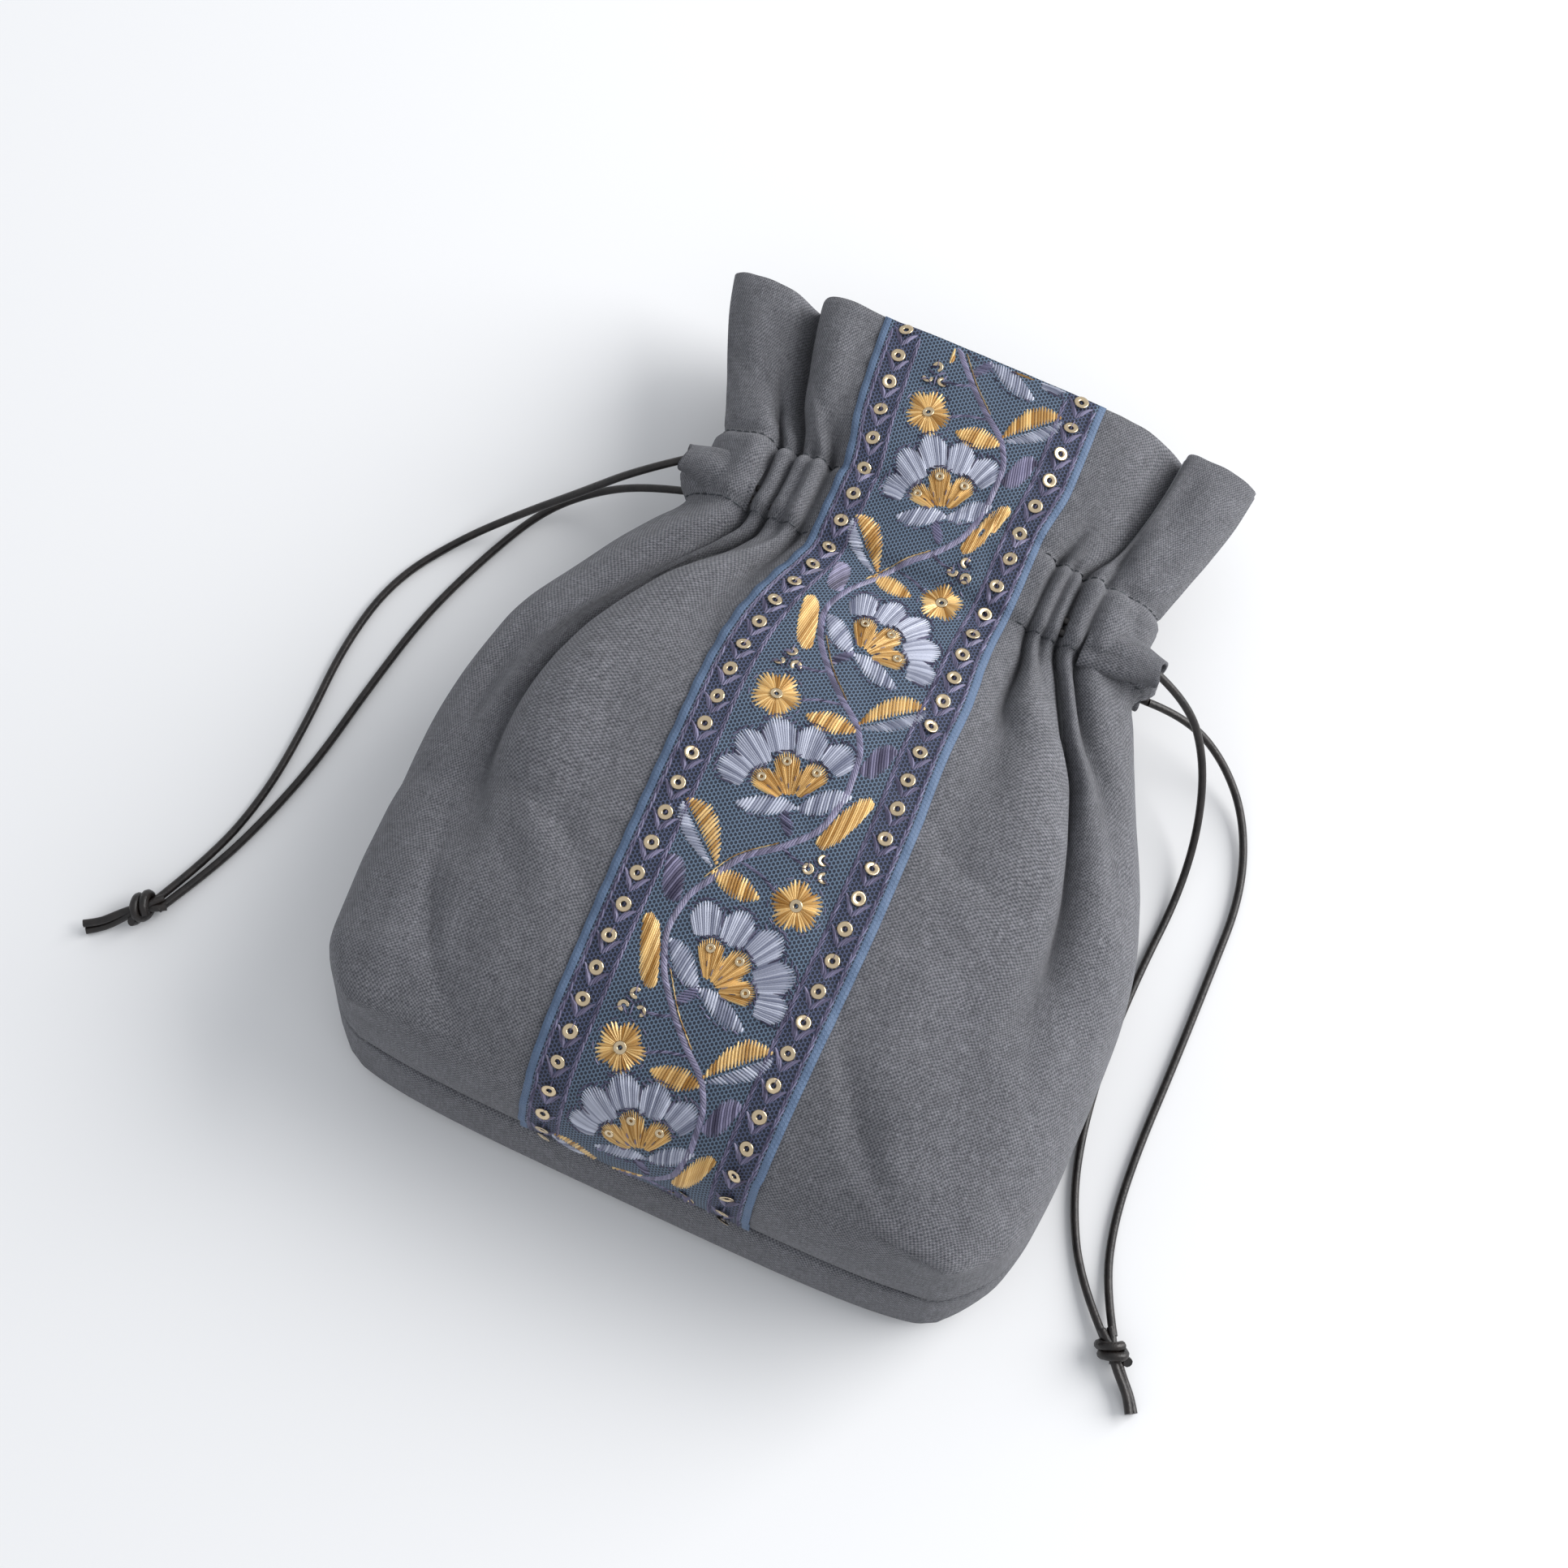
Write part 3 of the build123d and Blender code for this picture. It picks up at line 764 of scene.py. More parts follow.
def linen_group():
    """Plain weave: threads over and under, with thick places, in a shared shader group."""
    group = bpy.data.node_groups.new("plain_weave", "ShaderNodeTree")
    face = group.interface
    face.new_socket("Vector", in_out="INPUT", socket_type="NodeSocketVector")
    face.new_socket("Threads", in_out="INPUT", socket_type="NodeSocketFloat")
    face.new_socket("Slub", in_out="INPUT", socket_type="NodeSocketFloat")
    face.new_socket("Height", in_out="OUTPUT", socket_type="NodeSocketFloat")
    face.new_socket("Warp", in_out="OUTPUT", socket_type="NodeSocketFloat")
    face.new_socket("Tone", in_out="OUTPUT", socket_type="NodeSocketFloat")
    nodes, links = group.nodes, group.links
    source = nodes.new("NodeGroupInput")
    result = nodes.new("NodeGroupOutput")
    maths = maths_for(nodes, links)
    place = source.outputs["Vector"]
    wander = noise_over(nodes, links, place, 160, 2)
    split = nodes.new("ShaderNodeSeparateXYZ")
    links.new(place, split.inputs[0])
    sway = maths("MULTIPLY", maths("SUBTRACT", wander, 0.5), 0.0016)
    turns = maths("MULTIPLY", source.outputs["Threads"], 2 * math.pi)
    u = maths("MULTIPLY", maths("ADD", split.outputs["X"], sway), turns)
    v = maths("MULTIPLY", maths("SUBTRACT", split.outputs["Y"], sway), turns)
    half_u = maths("MULTIPLY", u, 0.5)
    half_v = maths("MULTIPLY", v, 0.5)
    over = maths("MULTIPLY", maths("SINE", half_u), maths("SINE", half_v))
    warp = maths("ABSOLUTE", maths("COSINE", half_u))
    weft = maths("ABSOLUTE", maths("COSINE", half_v))

    def stretched(x, y):
        turn = nodes.new("ShaderNodeMapping")
        turn.inputs["Scale"].default_value = (x, y, 1)
        links.new(place, turn.inputs["Vector"])
        return noise_over(nodes, links, turn.outputs[0], 1, 2)

    along_warp = stretched(2100, 260)
    along_weft = stretched(260, 2100)
    uneven = maths("SUBTRACT", maths("ADD", along_warp, along_weft), 1.0)
    thick = maths("MULTIPLY", uneven, source.outputs["Slub"])
    lifted = maths("GREATER_THAN", over, 0.0)
    lowered = maths("SUBTRACT", 1.0, lifted)
    crown = maths("ADD", maths("MULTIPLY", weft, lifted), maths("MULTIPLY", warp, lowered))
    crossed = maths("ADD", crown, maths("MULTIPLY", maths("ABSOLUTE", over), 0.7))
    links.new(maths("ADD", crossed, thick), result.inputs["Height"])
    links.new(lifted, result.inputs["Warp"])
    crossing = nodes.new("ShaderNodeCombineXYZ")
    for socket, value in zip(crossing.inputs, (split.outputs["X"], split.outputs["Y"])):
        links.new(maths("FLOOR", maths("MULTIPLY", value, source.outputs["Threads"])), socket)
    fleck = nodes.new("ShaderNodeTexWhiteNoise")
    fleck.noise_dimensions = "2D"
    links.new(crossing.outputs[0], fleck.inputs["Vector"])
    lower = maths("MULTIPLY", along_weft, lowered)
    tone = maths("MULTIPLY", maths("ADD", maths("MULTIPLY", along_warp, lifted), lower), 0.34)
    checks = maths("MULTIPLY", maths("ADD", over, 1.0), 0.26)
    flecks = maths("MULTIPLY", fleck.outputs["Value"], 0.12)
    links.new(maths("ADD", maths("ADD", tone, flecks), checks), result.inputs["Tone"])
    return group


plain_weave = linen_group()


def woven(nodes, links, pitch, slub):
    """The weave over a cloth's UV map, and the map's output; pitch is in metres."""
    place = nodes.new("ShaderNodeUVMap")
    place.uv_map = "UVMap"
    weave = nodes.new("ShaderNodeGroup")
    weave.node_tree = plain_weave
    weave.inputs["Threads"].default_value = 1 / pitch
    weave.inputs["Slub"].default_value = slub
    links.new(place.outputs["UV"], weave.inputs["Vector"])
    return place.outputs["UV"], weave.outputs


def mapped(nodes, links, value, start, end, low=0.0, high=1.0):
    """A value moved from one range to another and kept inside it."""
    node = nodes.new("ShaderNodeMapRange")
    node.inputs["From Min"].default_value = start
    node.inputs["From Max"].default_value = end
    node.inputs["To Min"].default_value = low
    node.inputs["To Max"].default_value = high
    links.new(value, node.inputs["Value"])
    return node.outputs["Result"]


def cloth_material(name, dark, light, pitch, slub, patch):
    """Woven cloth: two tones of thread, raised weave with painted shade in its hollows and painted light
    on its crowns, and slow cloudy colour changes.
    """
    material, nodes, links, shader = node_material(name, 0.88)
    place, weave = woven(nodes, links, pitch * MM, slub)
    threads = ramp_between(nodes, links, weave["Tone"], [(0.24, dark), (0.76, light)])
    # Painted shade and light: the thread colour is darkened where the weave lies low and lightened on its
    # crowns.
    shade = mapped(nodes, links, weave["Height"], 0, 1.5, 0.15, 1.36)
    clouds = noise_over(nodes, links, place, 40, 7, 0.66)
    cloud_shade = mapped(nodes, links, clouds, 0.3, 0.7, 1 - patch, 1 + patch)
    scaled = nodes.new("ShaderNodeVectorMath")
    scaled.operation = "SCALE"
    links.new(threads, scaled.inputs[0])
    links.new(maths_for(nodes, links)("MULTIPLY", shade, cloud_shade), scaled.inputs["Scale"])
    links.new(scaled.outputs[0], shader.inputs["Base Color"])
    raise_surface(nodes, links, shader, weave["Height"], 0.9, 0.00022)
    shader.inputs["Sheen Weight"].default_value = 0.12
    shader.inputs["Sheen Roughness"].default_value = 0.5
    return material


linen_dark = (0.060, 0.064, 0.077)
linen_light = (0.235, 0.236, 0.256)
slate_linen = cloth_material("slate_linen", linen_dark, linen_light, 0.44, 0.8, 0.09)
linen_thickness = 0.9


def sew_close(piece, reach):
    """Welds the piece's edges where they lie within reach, in millimetres."""
    pick(piece)
    bpy.ops.object.mode_set(mode="EDIT")
    bpy.ops.mesh.select_all(action="SELECT")
    bpy.ops.mesh.delete_loose()
    bpy.ops.mesh.select_all(action="SELECT")
    bpy.ops.mesh.remove_doubles(threshold=reach * MM)
    bpy.ops.object.mode_set(mode="OBJECT")


def cloth_piece(name, front):
    """One linen half with its base face, its boxed corners sewn, ready to be given thickness."""
    points = cloth_points(p_values, q_values, front)
    points = ruffle(points, p_values, q_values, front)
    mask = np.ones((len(q_values) - 1, len(p_values) - 1), bool)
    mask[: len(base_rows), :box_steps] = False
    mask[: len(base_rows), -box_steps:] = False
    uv = np.stack(np.meshgrid(p_values, q_values), axis=-1)
    if not front:
        points = points[:, ::-1]
        uv = uv[:, ::-1]
    piece = new_piece(name, grid_mesh(name, points, uv, mask))
    sew_close(piece, 0.08)
    bpy.ops.object.shade_smooth()
    return piece


def thicken(piece, thickness):
    """Gives a sheet its thickness, to the inside, and applies it."""
    solid = piece.modifiers.new("thickness", "SOLIDIFY")
    solid.thickness = thickness * MM
    solid.offset = -1.0
    solid.use_rim = True
    pick(piece)
    bpy.ops.object.modifier_apply(modifier=solid.name)


front_cloth = cloth_piece("front_linen", True)
back_cloth = cloth_piece("back_linen", False)
for piece in (front_cloth, back_cloth):
    thicken(piece, linen_thickness)
    piece.data.materials.append(slate_linen)
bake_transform(front_cloth)
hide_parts("front_panel", "front_casing", "front_frill")
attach(back_cloth, "root")
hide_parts("back_panel", "back_casing", "back_frill")


# The casing's ends: the two channels' cloth, drawn in to a narrow mouth where the cords leave.
# Each station is its place across, half width, half height and rise along the neck.
end_stations = [
    (40.0, 4.6, 2.6, 0.0), (45.0, 4.8, 3.0, 0.2), (49.0, 4.4, 3.0, 0.5), (52.5, 3.4, 2.6, 0.6),
    (55.0, 2.7, 2.1, 0.4), (57.2, 2.4, 1.8, 0.1),
]
end_mouth = end_stations[-1][0]
end_run = 17
end_thickness = 0.8


def casing_end(name, side, lane_y, lane_z, drop, shorter):
    """A short tapering tube of linen from inside the gathers out to the cord's way out."""
    around = 28
    rows = []
    for x, half_y, half_z, rise in end_stations:
        inward = (end_mouth - x) / end_run
        row = []
        for i in range(around + 1):
            angle = 2 * math.pi * i / around
            crease = 1 + 0.10 * math.sin(5 * angle + side) * inward
            fray = 0.5 * math.cos(2 * angle + 1) * soft_step(x, 54.0, end_mouth)
            row.append((
                side * (x + float(fray) - shorter),
                lane_y + rise + half_y * crease * math.cos(angle),
                lane_z + drop * inward + half_z * crease * math.sin(angle),
            ))
        rows.append(row)
    uv_across, uv_along = np.linspace(0, 36, around + 1), np.linspace(0, 18, len(rows))
    uv = np.stack(np.meshgrid(uv_across, uv_along), axis=-1)
    points = np.array(rows)
    if side > 0:
        points, uv = points[:, ::-1], uv[:, ::-1]
    piece = new_piece(name, grid_mesh(name, points, uv))
    sew_close(piece, 0.05)
    smoother = piece.modifiers.new("rounded", "SUBSURF")
    smoother.levels = 2
    smoother.render_levels = 2
    bpy.ops.object.modifier_apply(modifier=smoother.name)
    bpy.ops.object.shade_smooth()
    thicken(piece, end_thickness)
    piece.data.materials.append(slate_linen)
    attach(piece, "root")


for side_name, side, lane_y in (("left", -1, 49.6), ("right", 1, 46.8)):
    casing_end(f"{side_name}_front_casing_end", side, lane_y, front_lane, -1.0, 0.6)
    casing_end(f"{side_name}_back_casing_end", side, lane_y, back_lane, 1.5, 3.2)


# ---- the lining ---------------------------------------------------------------------------
# A plain cotton bag inside the linen, sewn to it along the mouth.
cotton_dark = (0.30, 0.31, 0.33)
cotton_light = (0.42, 0.43, 0.45)
lining_cotton = cloth_material("lining_cotton", cotton_dark, cotton_light, 0.40, 0.4, 0.03)
lining_inset = 1.7
lining_thickness = 0.4
lining_base_y = -92.4
lining_base_z = 18.5
lining_base_half = 65.5
lining_p = np.linspace(-seam_to_seam, seam_to_seam, 141)
lining_q = np.linspace(base_edge, cloth_end - 0.7, 100)
for name, front in (("lining_front_cloth", True), ("lining_back_cloth", False)):
    points = np.array([cloth_row(lining_p, q, front, lining_inset) for q in lining_q])
    points = ruffle(points, lining_p, lining_q, front)
    bottom = points[0].copy()
    bottom[:, 0] = np.clip(bottom[:, 0], -lining_base_half, lining_base_half)
    bottom[:, 1] = lining_base_y
    bottom[:, 2] = lining_base_z
    points = np.concatenate([bottom[None], points])
    uv = np.stack(np.meshgrid(lining_p, [0, *lining_q]), axis=-1)
    if not front:
        points, uv = points[:, ::-1], uv[:, ::-1]
    lining = new_piece(name, grid_mesh(name, points, uv))
    pick(lining)
    bpy.ops.object.shade_smooth()
    thicken(lining, lining_thickness)
    lining.data.materials.append(lining_cotton)
    if front:
        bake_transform(lining)
        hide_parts("lining_front")
    else:
        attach(lining, "root")
        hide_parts("lining_back")


# ---- the ribbon ---------------------------------------------------------------------------
# Embroidered net ribbon, 55 mm wide, sewn down the front from the base seam to the mouth.
ribbon_thickness = 0.45
ribbon_lift = 0.50
table_p = np.arange(-95.0, 95.01, 1.0)
table_q = np.concatenate([
    np.linspace(0, base_edge, 26),
    np.linspace(base_edge, cloth_end, 194)[1:],
])


def unit(vectors):
    """Vectors brought to a length of one."""
    return vectors / np.maximum(np.linalg.norm(vectors, axis=-1, keepdims=True), 1e-9)


cloth_tables = {}
for front in (True, False):
    places = ruffle(cloth_points(table_p, table_q, front), table_p, table_q, front)
    over_p = np.gradient(places, axis=1)
    over_q = np.gradient(places, axis=0)
    cloth_tables[front] = (places, unit(np.cross(over_p, over_q) * (1 if front else -1)))


def on_cloth(p, q, front=True):
    """Places and outward directions of the cloth at p across and q along, in millimetres."""
    places, normals = cloth_tables[front]
    p = np.clip(p, table_p[0], table_p[-1] - 1e-6)
    q = np.clip(q, 0, cloth_end - 1e-6)
    i = np.clip(np.searchsorted(table_p, p, side="right") - 1, 0, len(table_p) - 2)
    j = np.clip(np.searchsorted(table_q, q, side="right") - 1, 0, len(table_q) - 2)
    s = ((p - table_p[i]) / (table_p[i + 1] - table_p[i]))[..., None]
    t = ((q - table_q[j]) / (table_q[j + 1] - table_q[j]))[..., None]

    def mixed(grid):
        low = grid[j, i] * (1 - s) + grid[j, i + 1] * s
        high = grid[j + 1, i] * (1 - s) + grid[j + 1, i + 1] * s
        return low * (1 - t) + high * t

    return mixed(places), unit(mixed(normals))


net_pitch = 0.00085
net_stretch = 0.86
selvedge_start = 0.0258
border_middle = 0.0216
border_half = 0.0034


def ribbon_net_material():
    """Fine six-sided net of light blue thread over a dark ground, with a woven edge."""
    material, nodes, links, shader = node_material("ribbon_net", 0.6)
    maths = maths_for(nodes, links)
    place, weave = woven(nodes, links, 0.0005, 0.3)
    turns = 2 * math.pi / (net_pitch * 0.866)
    total = 0.0
    for angle in (0, 60, 120):
        turn = math.radians(angle)
        dot = nodes.new("ShaderNodeVectorMath")
        dot.operation = "DOT_PRODUCT"
        dot.inputs[1].default_value = (turns * math.cos(turn), turns * math.sin(turn) * net_stretch, 0)
        links.new(place, dot.inputs[0])
        total = maths("ADD", maths("COSINE", dot.outputs["Value"]), total)
    hole = mapped(nodes, links, total, -0.75, 0.35)
    stops = [(0.0, (0.098, 0.146, 0.215)), (0.40, (0.046, 0.072, 0.115)), (1.0, (0.010, 0.016, 0.032))]
    net = ramp_between(nodes, links, hole, stops)
    split = nodes.new("ShaderNodeSeparateXYZ")
    links.new(place, split.inputs[0])
    across = maths("ABSOLUTE", split.outputs["X"])
    shaded = nodes.new("ShaderNodeMix")
    shaded.data_type = "RGBA"
    shaded.blend_type = "MULTIPLY"
    shaded.inputs["B"].default_value = (0.60, 0.52, 0.66, 1)
    links.new(maths("COMPARE", across, border_middle, border_half), shaded.inputs["Factor"])
    links.new(net, shaded.inputs["A"])
    # The woven edge's blue with painted shade: darker where the weave lies low, lighter on its crowns.
    stops = [(0.2, (0.050, 0.085, 0.150)), (0.9, (0.150, 0.225, 0.360))]
    selvedge_tone_and_shade = ramp_between(nodes, links, maths("MULTIPLY", weave["Height"], 0.6), stops)
    edged = nodes.new("ShaderNodeMix")
    edged.data_type = "RGBA"
    links.new(maths("GREATER_THAN", across, selvedge_start), edged.inputs["Factor"])
    links.new(shaded.outputs["Result"], edged.inputs["A"])
    links.new(selvedge_tone_and_shade, edged.inputs["B"])
    links.new(edged.outputs["Result"], shader.inputs["Base Color"])
    raise_surface(nodes, links, shader, maths("SUBTRACT", 1.0, hole), 0.8, 0.0002)
    return material


ribbon_net = ribbon_net_material()
ribbon_p = np.linspace(-ribbon_half, ribbon_half, 45)
ribbon_q = np.concatenate([
    np.linspace(0.5, base_edge, 18),
    np.linspace(base_edge, cloth_end - 0.1, 150)[1:],
])
across, along = np.meshgrid(ribbon_p, ribbon_q)
places, facing = on_cloth(across, along)
edge_wave = 0.25 * np.sin(along * 0.9) * (np.abs(across) > 26)
ribbon_points = places + facing * (ribbon_lift + edge_wave)[..., None]
ribbon_uv = np.stack([across, along], axis=-1)
ribbon = new_piece("net_ribbon", grid_mesh("net_ribbon", ribbon_points, ribbon_uv))
pick(ribbon)
bpy.ops.object.shade_smooth()
thicken(ribbon, ribbon_thickness)
ribbon.data.materials.append(ribbon_net)
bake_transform(ribbon)
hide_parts("ribbon", "ribbon_frill")


# ---- the embroidery -----------------------------------------------------------------------
# Satin stitch in pale blue, gold and dark purple thread: a flowering vine that swings from
# side to side, and a chain of small leaves down both borders. Every stitch is modelled.
chance = np.random.default_rng(11)
thread_lift = 0.50
first_stitch = 0.7
last_stitch = cloth_end - 0.3
all_tones = (0.0, 1.0)
dark_tones = (0.0, 0.35)
darkest_tones = (0.0, 0.3)

# A stitch's outline from end to end: place along it, share of its width and of its rise.
stitch_share = np.array([0.0, 0.3, 0.7, 1.0])
stitch_wide = np.array([0.75, 1.0, 1.0, 0.70])
stitch_high = np.array([0.15, 1.0, 1.0, 0.15])


class Stitches:
    """Stitches of one thread: each a thin three-sided strand that arches over the cloth."""

    def __init__(self, name, front=True, floor=thread_lift):
        self.name = name
        self.front = front
        self.floor = floor
        self.rows = []

    def add(self, start, end, width, rise, bow=0.0, tones=all_tones):
        """One stitch between two places on the flat cloth, unless it is past the cloth's ends."""
        if min(start[1], end[1]) < first_stitch or max(start[1], end[1]) > last_stitch:
            return
        tone = tones[0] + (tones[1] - tones[0]) * chance.random()
        self.rows.append((*start, *end, width, rise, bow, tone))

    def build(self, material):
        """The finished piece, with each strand's own tone in an attribute."""
        data = np.array(self.rows)
        start, end = data[:, 0:2], data[:, 2:4]
        width, rise, bow, tone = data[:, 4:8].T
        share = stitch_share[None, :, None]
        run = (end - start)[:, None, :]
        turn = np.stack([-run[..., 1], run[..., 0]], axis=-1)
        swing = share * (1 - share) * 4 * bow[:, None, None] * turn
        spots = start[:, None, :] + share * run + swing
        places, facing = on_cloth(spots[..., 0], spots[..., 1], self.front)
        aside = unit(np.cross(facing, np.gradient(places, axis=1)))
        reach = (width[:, None] * stitch_wide / 2)[..., None]
        lift = (self.floor + rise[:, None] * stitch_high)[..., None]
        floor = np.full_like(lift, self.floor - 0.12)
        left = places + aside * reach + facing * floor
        top = places + facing * lift
        right = places - aside * reach + facing * floor
        rings = np.stack([left, top, right], axis=2)
        per_stitch = 3 * len(stitch_share)
        faces = []
        for base in range(0, per_stitch * len(data), per_stitch):
            for ring in range(base, base + per_stitch - 3, 3):
                for m in range(3):
                    a, b = ring + m, ring + (m + 1) % 3
                    faces.append((a, b, b + 3, a + 3))
            last = base + per_stitch - 3
            faces.append((base, base + 2, base + 1))
            faces.append((last, last + 1, last + 2))
        mesh = bpy.data.meshes.new(self.name)
        mesh.from_pydata((rings.reshape(-1, 3) * MM).tolist(), [], faces)
        tones = mesh.attributes.new("tone", "FLOAT", "POINT")
        tones.data.foreach_set("value", np.repeat(tone, per_stitch).astype(np.float32))
        mesh.materials.append(material)
        piece = new_piece(self.name, mesh)
        pick(piece)
        bpy.ops.object.mode_set(mode="EDIT")
        bpy.ops.mesh.select_all(action="SELECT")
        bpy.ops.mesh.normals_make_consistent(inside=False)
        bpy.ops.object.mode_set(mode="OBJECT")
        bpy.ops.object.shade_smooth_by_angle(angle=math.radians(50))
        return piece


def thread_material(name, dark, light, metal, roughness):
    """Twisted embroidery thread whose strands differ a little in tone."""
    material, nodes, links, shader = node_material(name, roughness)
    tone = nodes.new("ShaderNodeAttribute")
    tone.attribute_name = "tone"
    colour = ramp_between(nodes, links, tone.outputs["Fac"], [(0.0, dark), (1.0, light)])
    links.new(colour, shader.inputs["Base Color"])
    shader.inputs["Metallic"].default_value = metal
    place = nodes.new("ShaderNodeTexCoord").outputs["Object"]
    grain = noise_over(nodes, links, place, 2600, 2)
    raise_surface(nodes, links, shader, grain, 0.45, 0.00012)
    return material


satin_dark, satin_light = (0.170, 0.185, 0.260), (0.600, 0.625, 0.720)
gold_dark, gold_light = (0.36, 0.18, 0.040), (0.95, 0.70, 0.33)
stem_dark, stem_light = (0.040, 0.035, 0.070), (0.270, 0.255, 0.385)
satin_thread = thread_material("satin_thread", satin_dark, satin_light, 0.0, 0.36)
gold_thread = thread_material("gold_thread", gold_dark, gold_light, 0.30, 0.36)
stem_thread = thread_material("stem_thread", stem_dark, stem_light, 0.0, 0.45)

satin = Stitches("satin_petals")
gold = Stitches("gold_stitches")
stem = Stitches("vine_and_borders")
sequin_spots = []
tiny_spots = []


def polar(base, angle, radius):
    """The place at an angle in degrees and a distance from base."""
    turn = math.radians(angle)
    return base[0] + radius * math.cos(turn), base[1] + radius * math.sin(turn)


def between(a, b, share):
    """The place at a share of the way from a to b."""
    return a[0] + (b[0] - a[0]) * share, a[1] + (b[1] - a[1]) * share


def heading(a, b):
    """The angle in degrees of the way from a to b."""
    return math.degrees(math.atan2(b[1] - a[1], b[0] - a[0]))


def swung(side, place, start):
    """A place in one half repeat, mirrored for every second one and moved along the ribbon."""
    return side * place[0], place[1] + start


def tick(side, start, spot, angle, reach, width, rise, tones=all_tones):
    """One outline stitch in the dark thread, centred on a spot."""
    ends = [swung(side, polar(spot, angle, reach * way), start) for way in (-1, 1)]
    stem.add(*ends, width, rise, 0, tones)


def fan(thread, side, start, base, angle, half_angle, inner, outer, count, width):
    """A petal or lobe: strands that spread from the base and end on a scalloped edge."""
    for k in range(count):
        share = 2 * k / (count - 1) - 1
        direction = angle + half_angle * share
        near = inner + 0.5 * abs(share) + 0.35 * (chance.random() - 0.5)
        far = outer * (1 - 0.13 * share * share) + 0.22 * (chance.random() - 0.5)
        begin = swung(side, polar(base, direction, near), start)
        finish = swung(side, polar(base, direction, far), start)
        thread.add(begin, finish, width, 0.42)


def leaf(thread, side, start, root, tip, half_width, lean, count, width, part=0):
    """A leaf filled with slanted strands; part picks one half beside the middle line."""
    axis = heading(root, tip)
    for k in range(count):
        t = (k + 0.6) / (count + 0.2)
        centre = between(root, tip, t)
        chord = half_width * math.sin(math.pi * t) ** 0.7 / math.sin(math.radians(lean))
        chord *= 0.94 + 0.12 * chance.random()
        near = centre if part else polar(centre, axis + lean, -chord)
        far = polar(centre, axis + (lean if part >= 0 else -lean), chord)
        if part:
            near = polar(centre, axis + 90 * part, 0.12)
        thread.add(swung(side, near, start), swung(side, far, start), width, 0.40, 0.02)


def rope(thread, path, width, pitch, reach, slant, tones=all_tones):
    """Overlapping slanted stitches along a path, like a twisted cord."""
    look_ahead = 0.4
    gaps = lengths_along(path)
    line_a = smooth_through(list(zip(gaps, [p[0] for p in path])))
    line_b = smooth_through(list(zip(gaps, [p[1] for p in path])))
    for s in np.arange(0.2, gaps[-1], pitch):
        if s + look_ahead > gaps[-1]:
            break
        here = (float(line_a(s)), float(line_b(s)))
        ahead = (float(line_a(s + look_ahead)), float(line_b(s + look_ahead)))
        direction = heading(here, ahead) + slant
        ends = [polar(here, direction, reach / 2 * way) for way in (-1, 1)]
        thread.add(*ends, width, 0.36, 0, tones)


# A big flower's petals and lobes: direction, inner and outer radius from the flower's base.
petals = [(171, 10.6, 17.6), (146, 9.8, 18.8), (120, 11.2, 19.4), (93, 10.3, 18.3), (66, 11.2, 18.5)]
lobes = [(160, 2.6, 10.3), (116, 2.0, 11.4), (72, 2.4, 11.0)]


def big_flower(side, start, base, size=1.0):
    """Five fanned petals round three gold lobes, two lower petals and a dark outline."""
    for angle, inner, outer in petals:
        fan(satin, side, start, base, angle, 11.9, inner * size, outer * size, 14, 0.80)
        for k in range(7):
            share = 2 * (k + 0.5) / 7 - 1
            radius = size * outer * (1 - 0.13 * share * share) + 0.45
            spot = polar(base, angle + 12.5 * share, radius)
            along_edge = angle + 12.5 * share + 90 - 38 * share
            tick(side, start, spot, along_edge, 0.85, 0.55, 0.34, dark_tones)
        notch = angle + 12.8
        reaches = (outer * 0.70, outer * 0.93)
        ends = [swung(side, polar(base, notch, size * reach), start) for reach in reaches]
        stem.add(*ends, 0.50, 0.48, 0, dark_tones)
    for angle, inner, outer in lobes:
        fan(gold, side, start, base, angle, 16.5, inner * size, outer * size, 13, 0.66)
        for k in range(6):
            share = 2 * (k + 0.5) / 6 - 1
            spot = polar(base, angle + 17 * share, size * outer * (1 - 0.12 * share * share) + 0.3)
            along_edge = angle + 17 * share + 90 - 50 * share
            tick(side, start, spot, along_edge, 0.8, 0.52, 0.46, darkest_tones)
        tiny_spots.append(swung(side, polar(base, angle, outer * size * 0.80), start))
    for angle in (136, 94):
        fan(gold, side, start, base, angle, 7.0, 2.0 * size, 8.2 * size, 5, 0.55)
    for k in range(9):
        angle = 180 - 128 * k / 8
        spot = polar(base, angle, (4.0 + 1.6 * (k % 2)) * size)
        tick(side, start, spot, angle, 0.9, 0.34, 0.62)
    low_root = (base[0] + 1.6, base[1] - 0.2)
    left_tip = (base[0] - 10.4, base[1] - 4.2)
    right_tip = (base[0] + 11.2, base[1] + 6.6)
    leaf(satin, side, start, low_root, left_tip, 2.3 * size, 62, 18, 0.78)
    leaf(satin, side, start, low_root, right_tip, 2.5 * size, 62, 18, 0.78)
    for tip, outside in ((left_tip, 90), (right_tip, -90)):
        way = heading(low_root, tip)
        for k in range(6):
            t = (k + 0.5) / 6
            beyond = 2.6 * math.sin(math.pi * t) ** 0.7 + 0.2
            spot = polar(between(low_root, tip, t), way + outside, beyond)
            tick(side, start, spot, way, 0.8, 0.40, 0.34)


def gold_flower(side, start, centre, radius):
    """A round gold flower of radial stitches with a sequin at its middle."""
    for k in range(36):
        angle = 10 * k + 3 * (chance.random() - 0.5)
        scallop = 0.74 + 0.26 * abs(math.cos(math.radians(angle * 2.5))) ** 0.7
        reach = radius * scallop + 0.2 * chance.random()
        begin = swung(side, polar(centre, angle, 1.0), start)
        finish = swung(side, polar(centre, angle + 4, reach), start)
        gold.add(begin, finish, 0.84, 0.42)
    for k in range(10):
        angle = 36 * k + 18
        spot = polar(centre, angle, radius + 0.35)
        tick(side, start, spot, angle + 90, 0.8, 0.36, 0.30)
    sequin_spots.append((swung(side, centre, start), 0.85, 0.85))


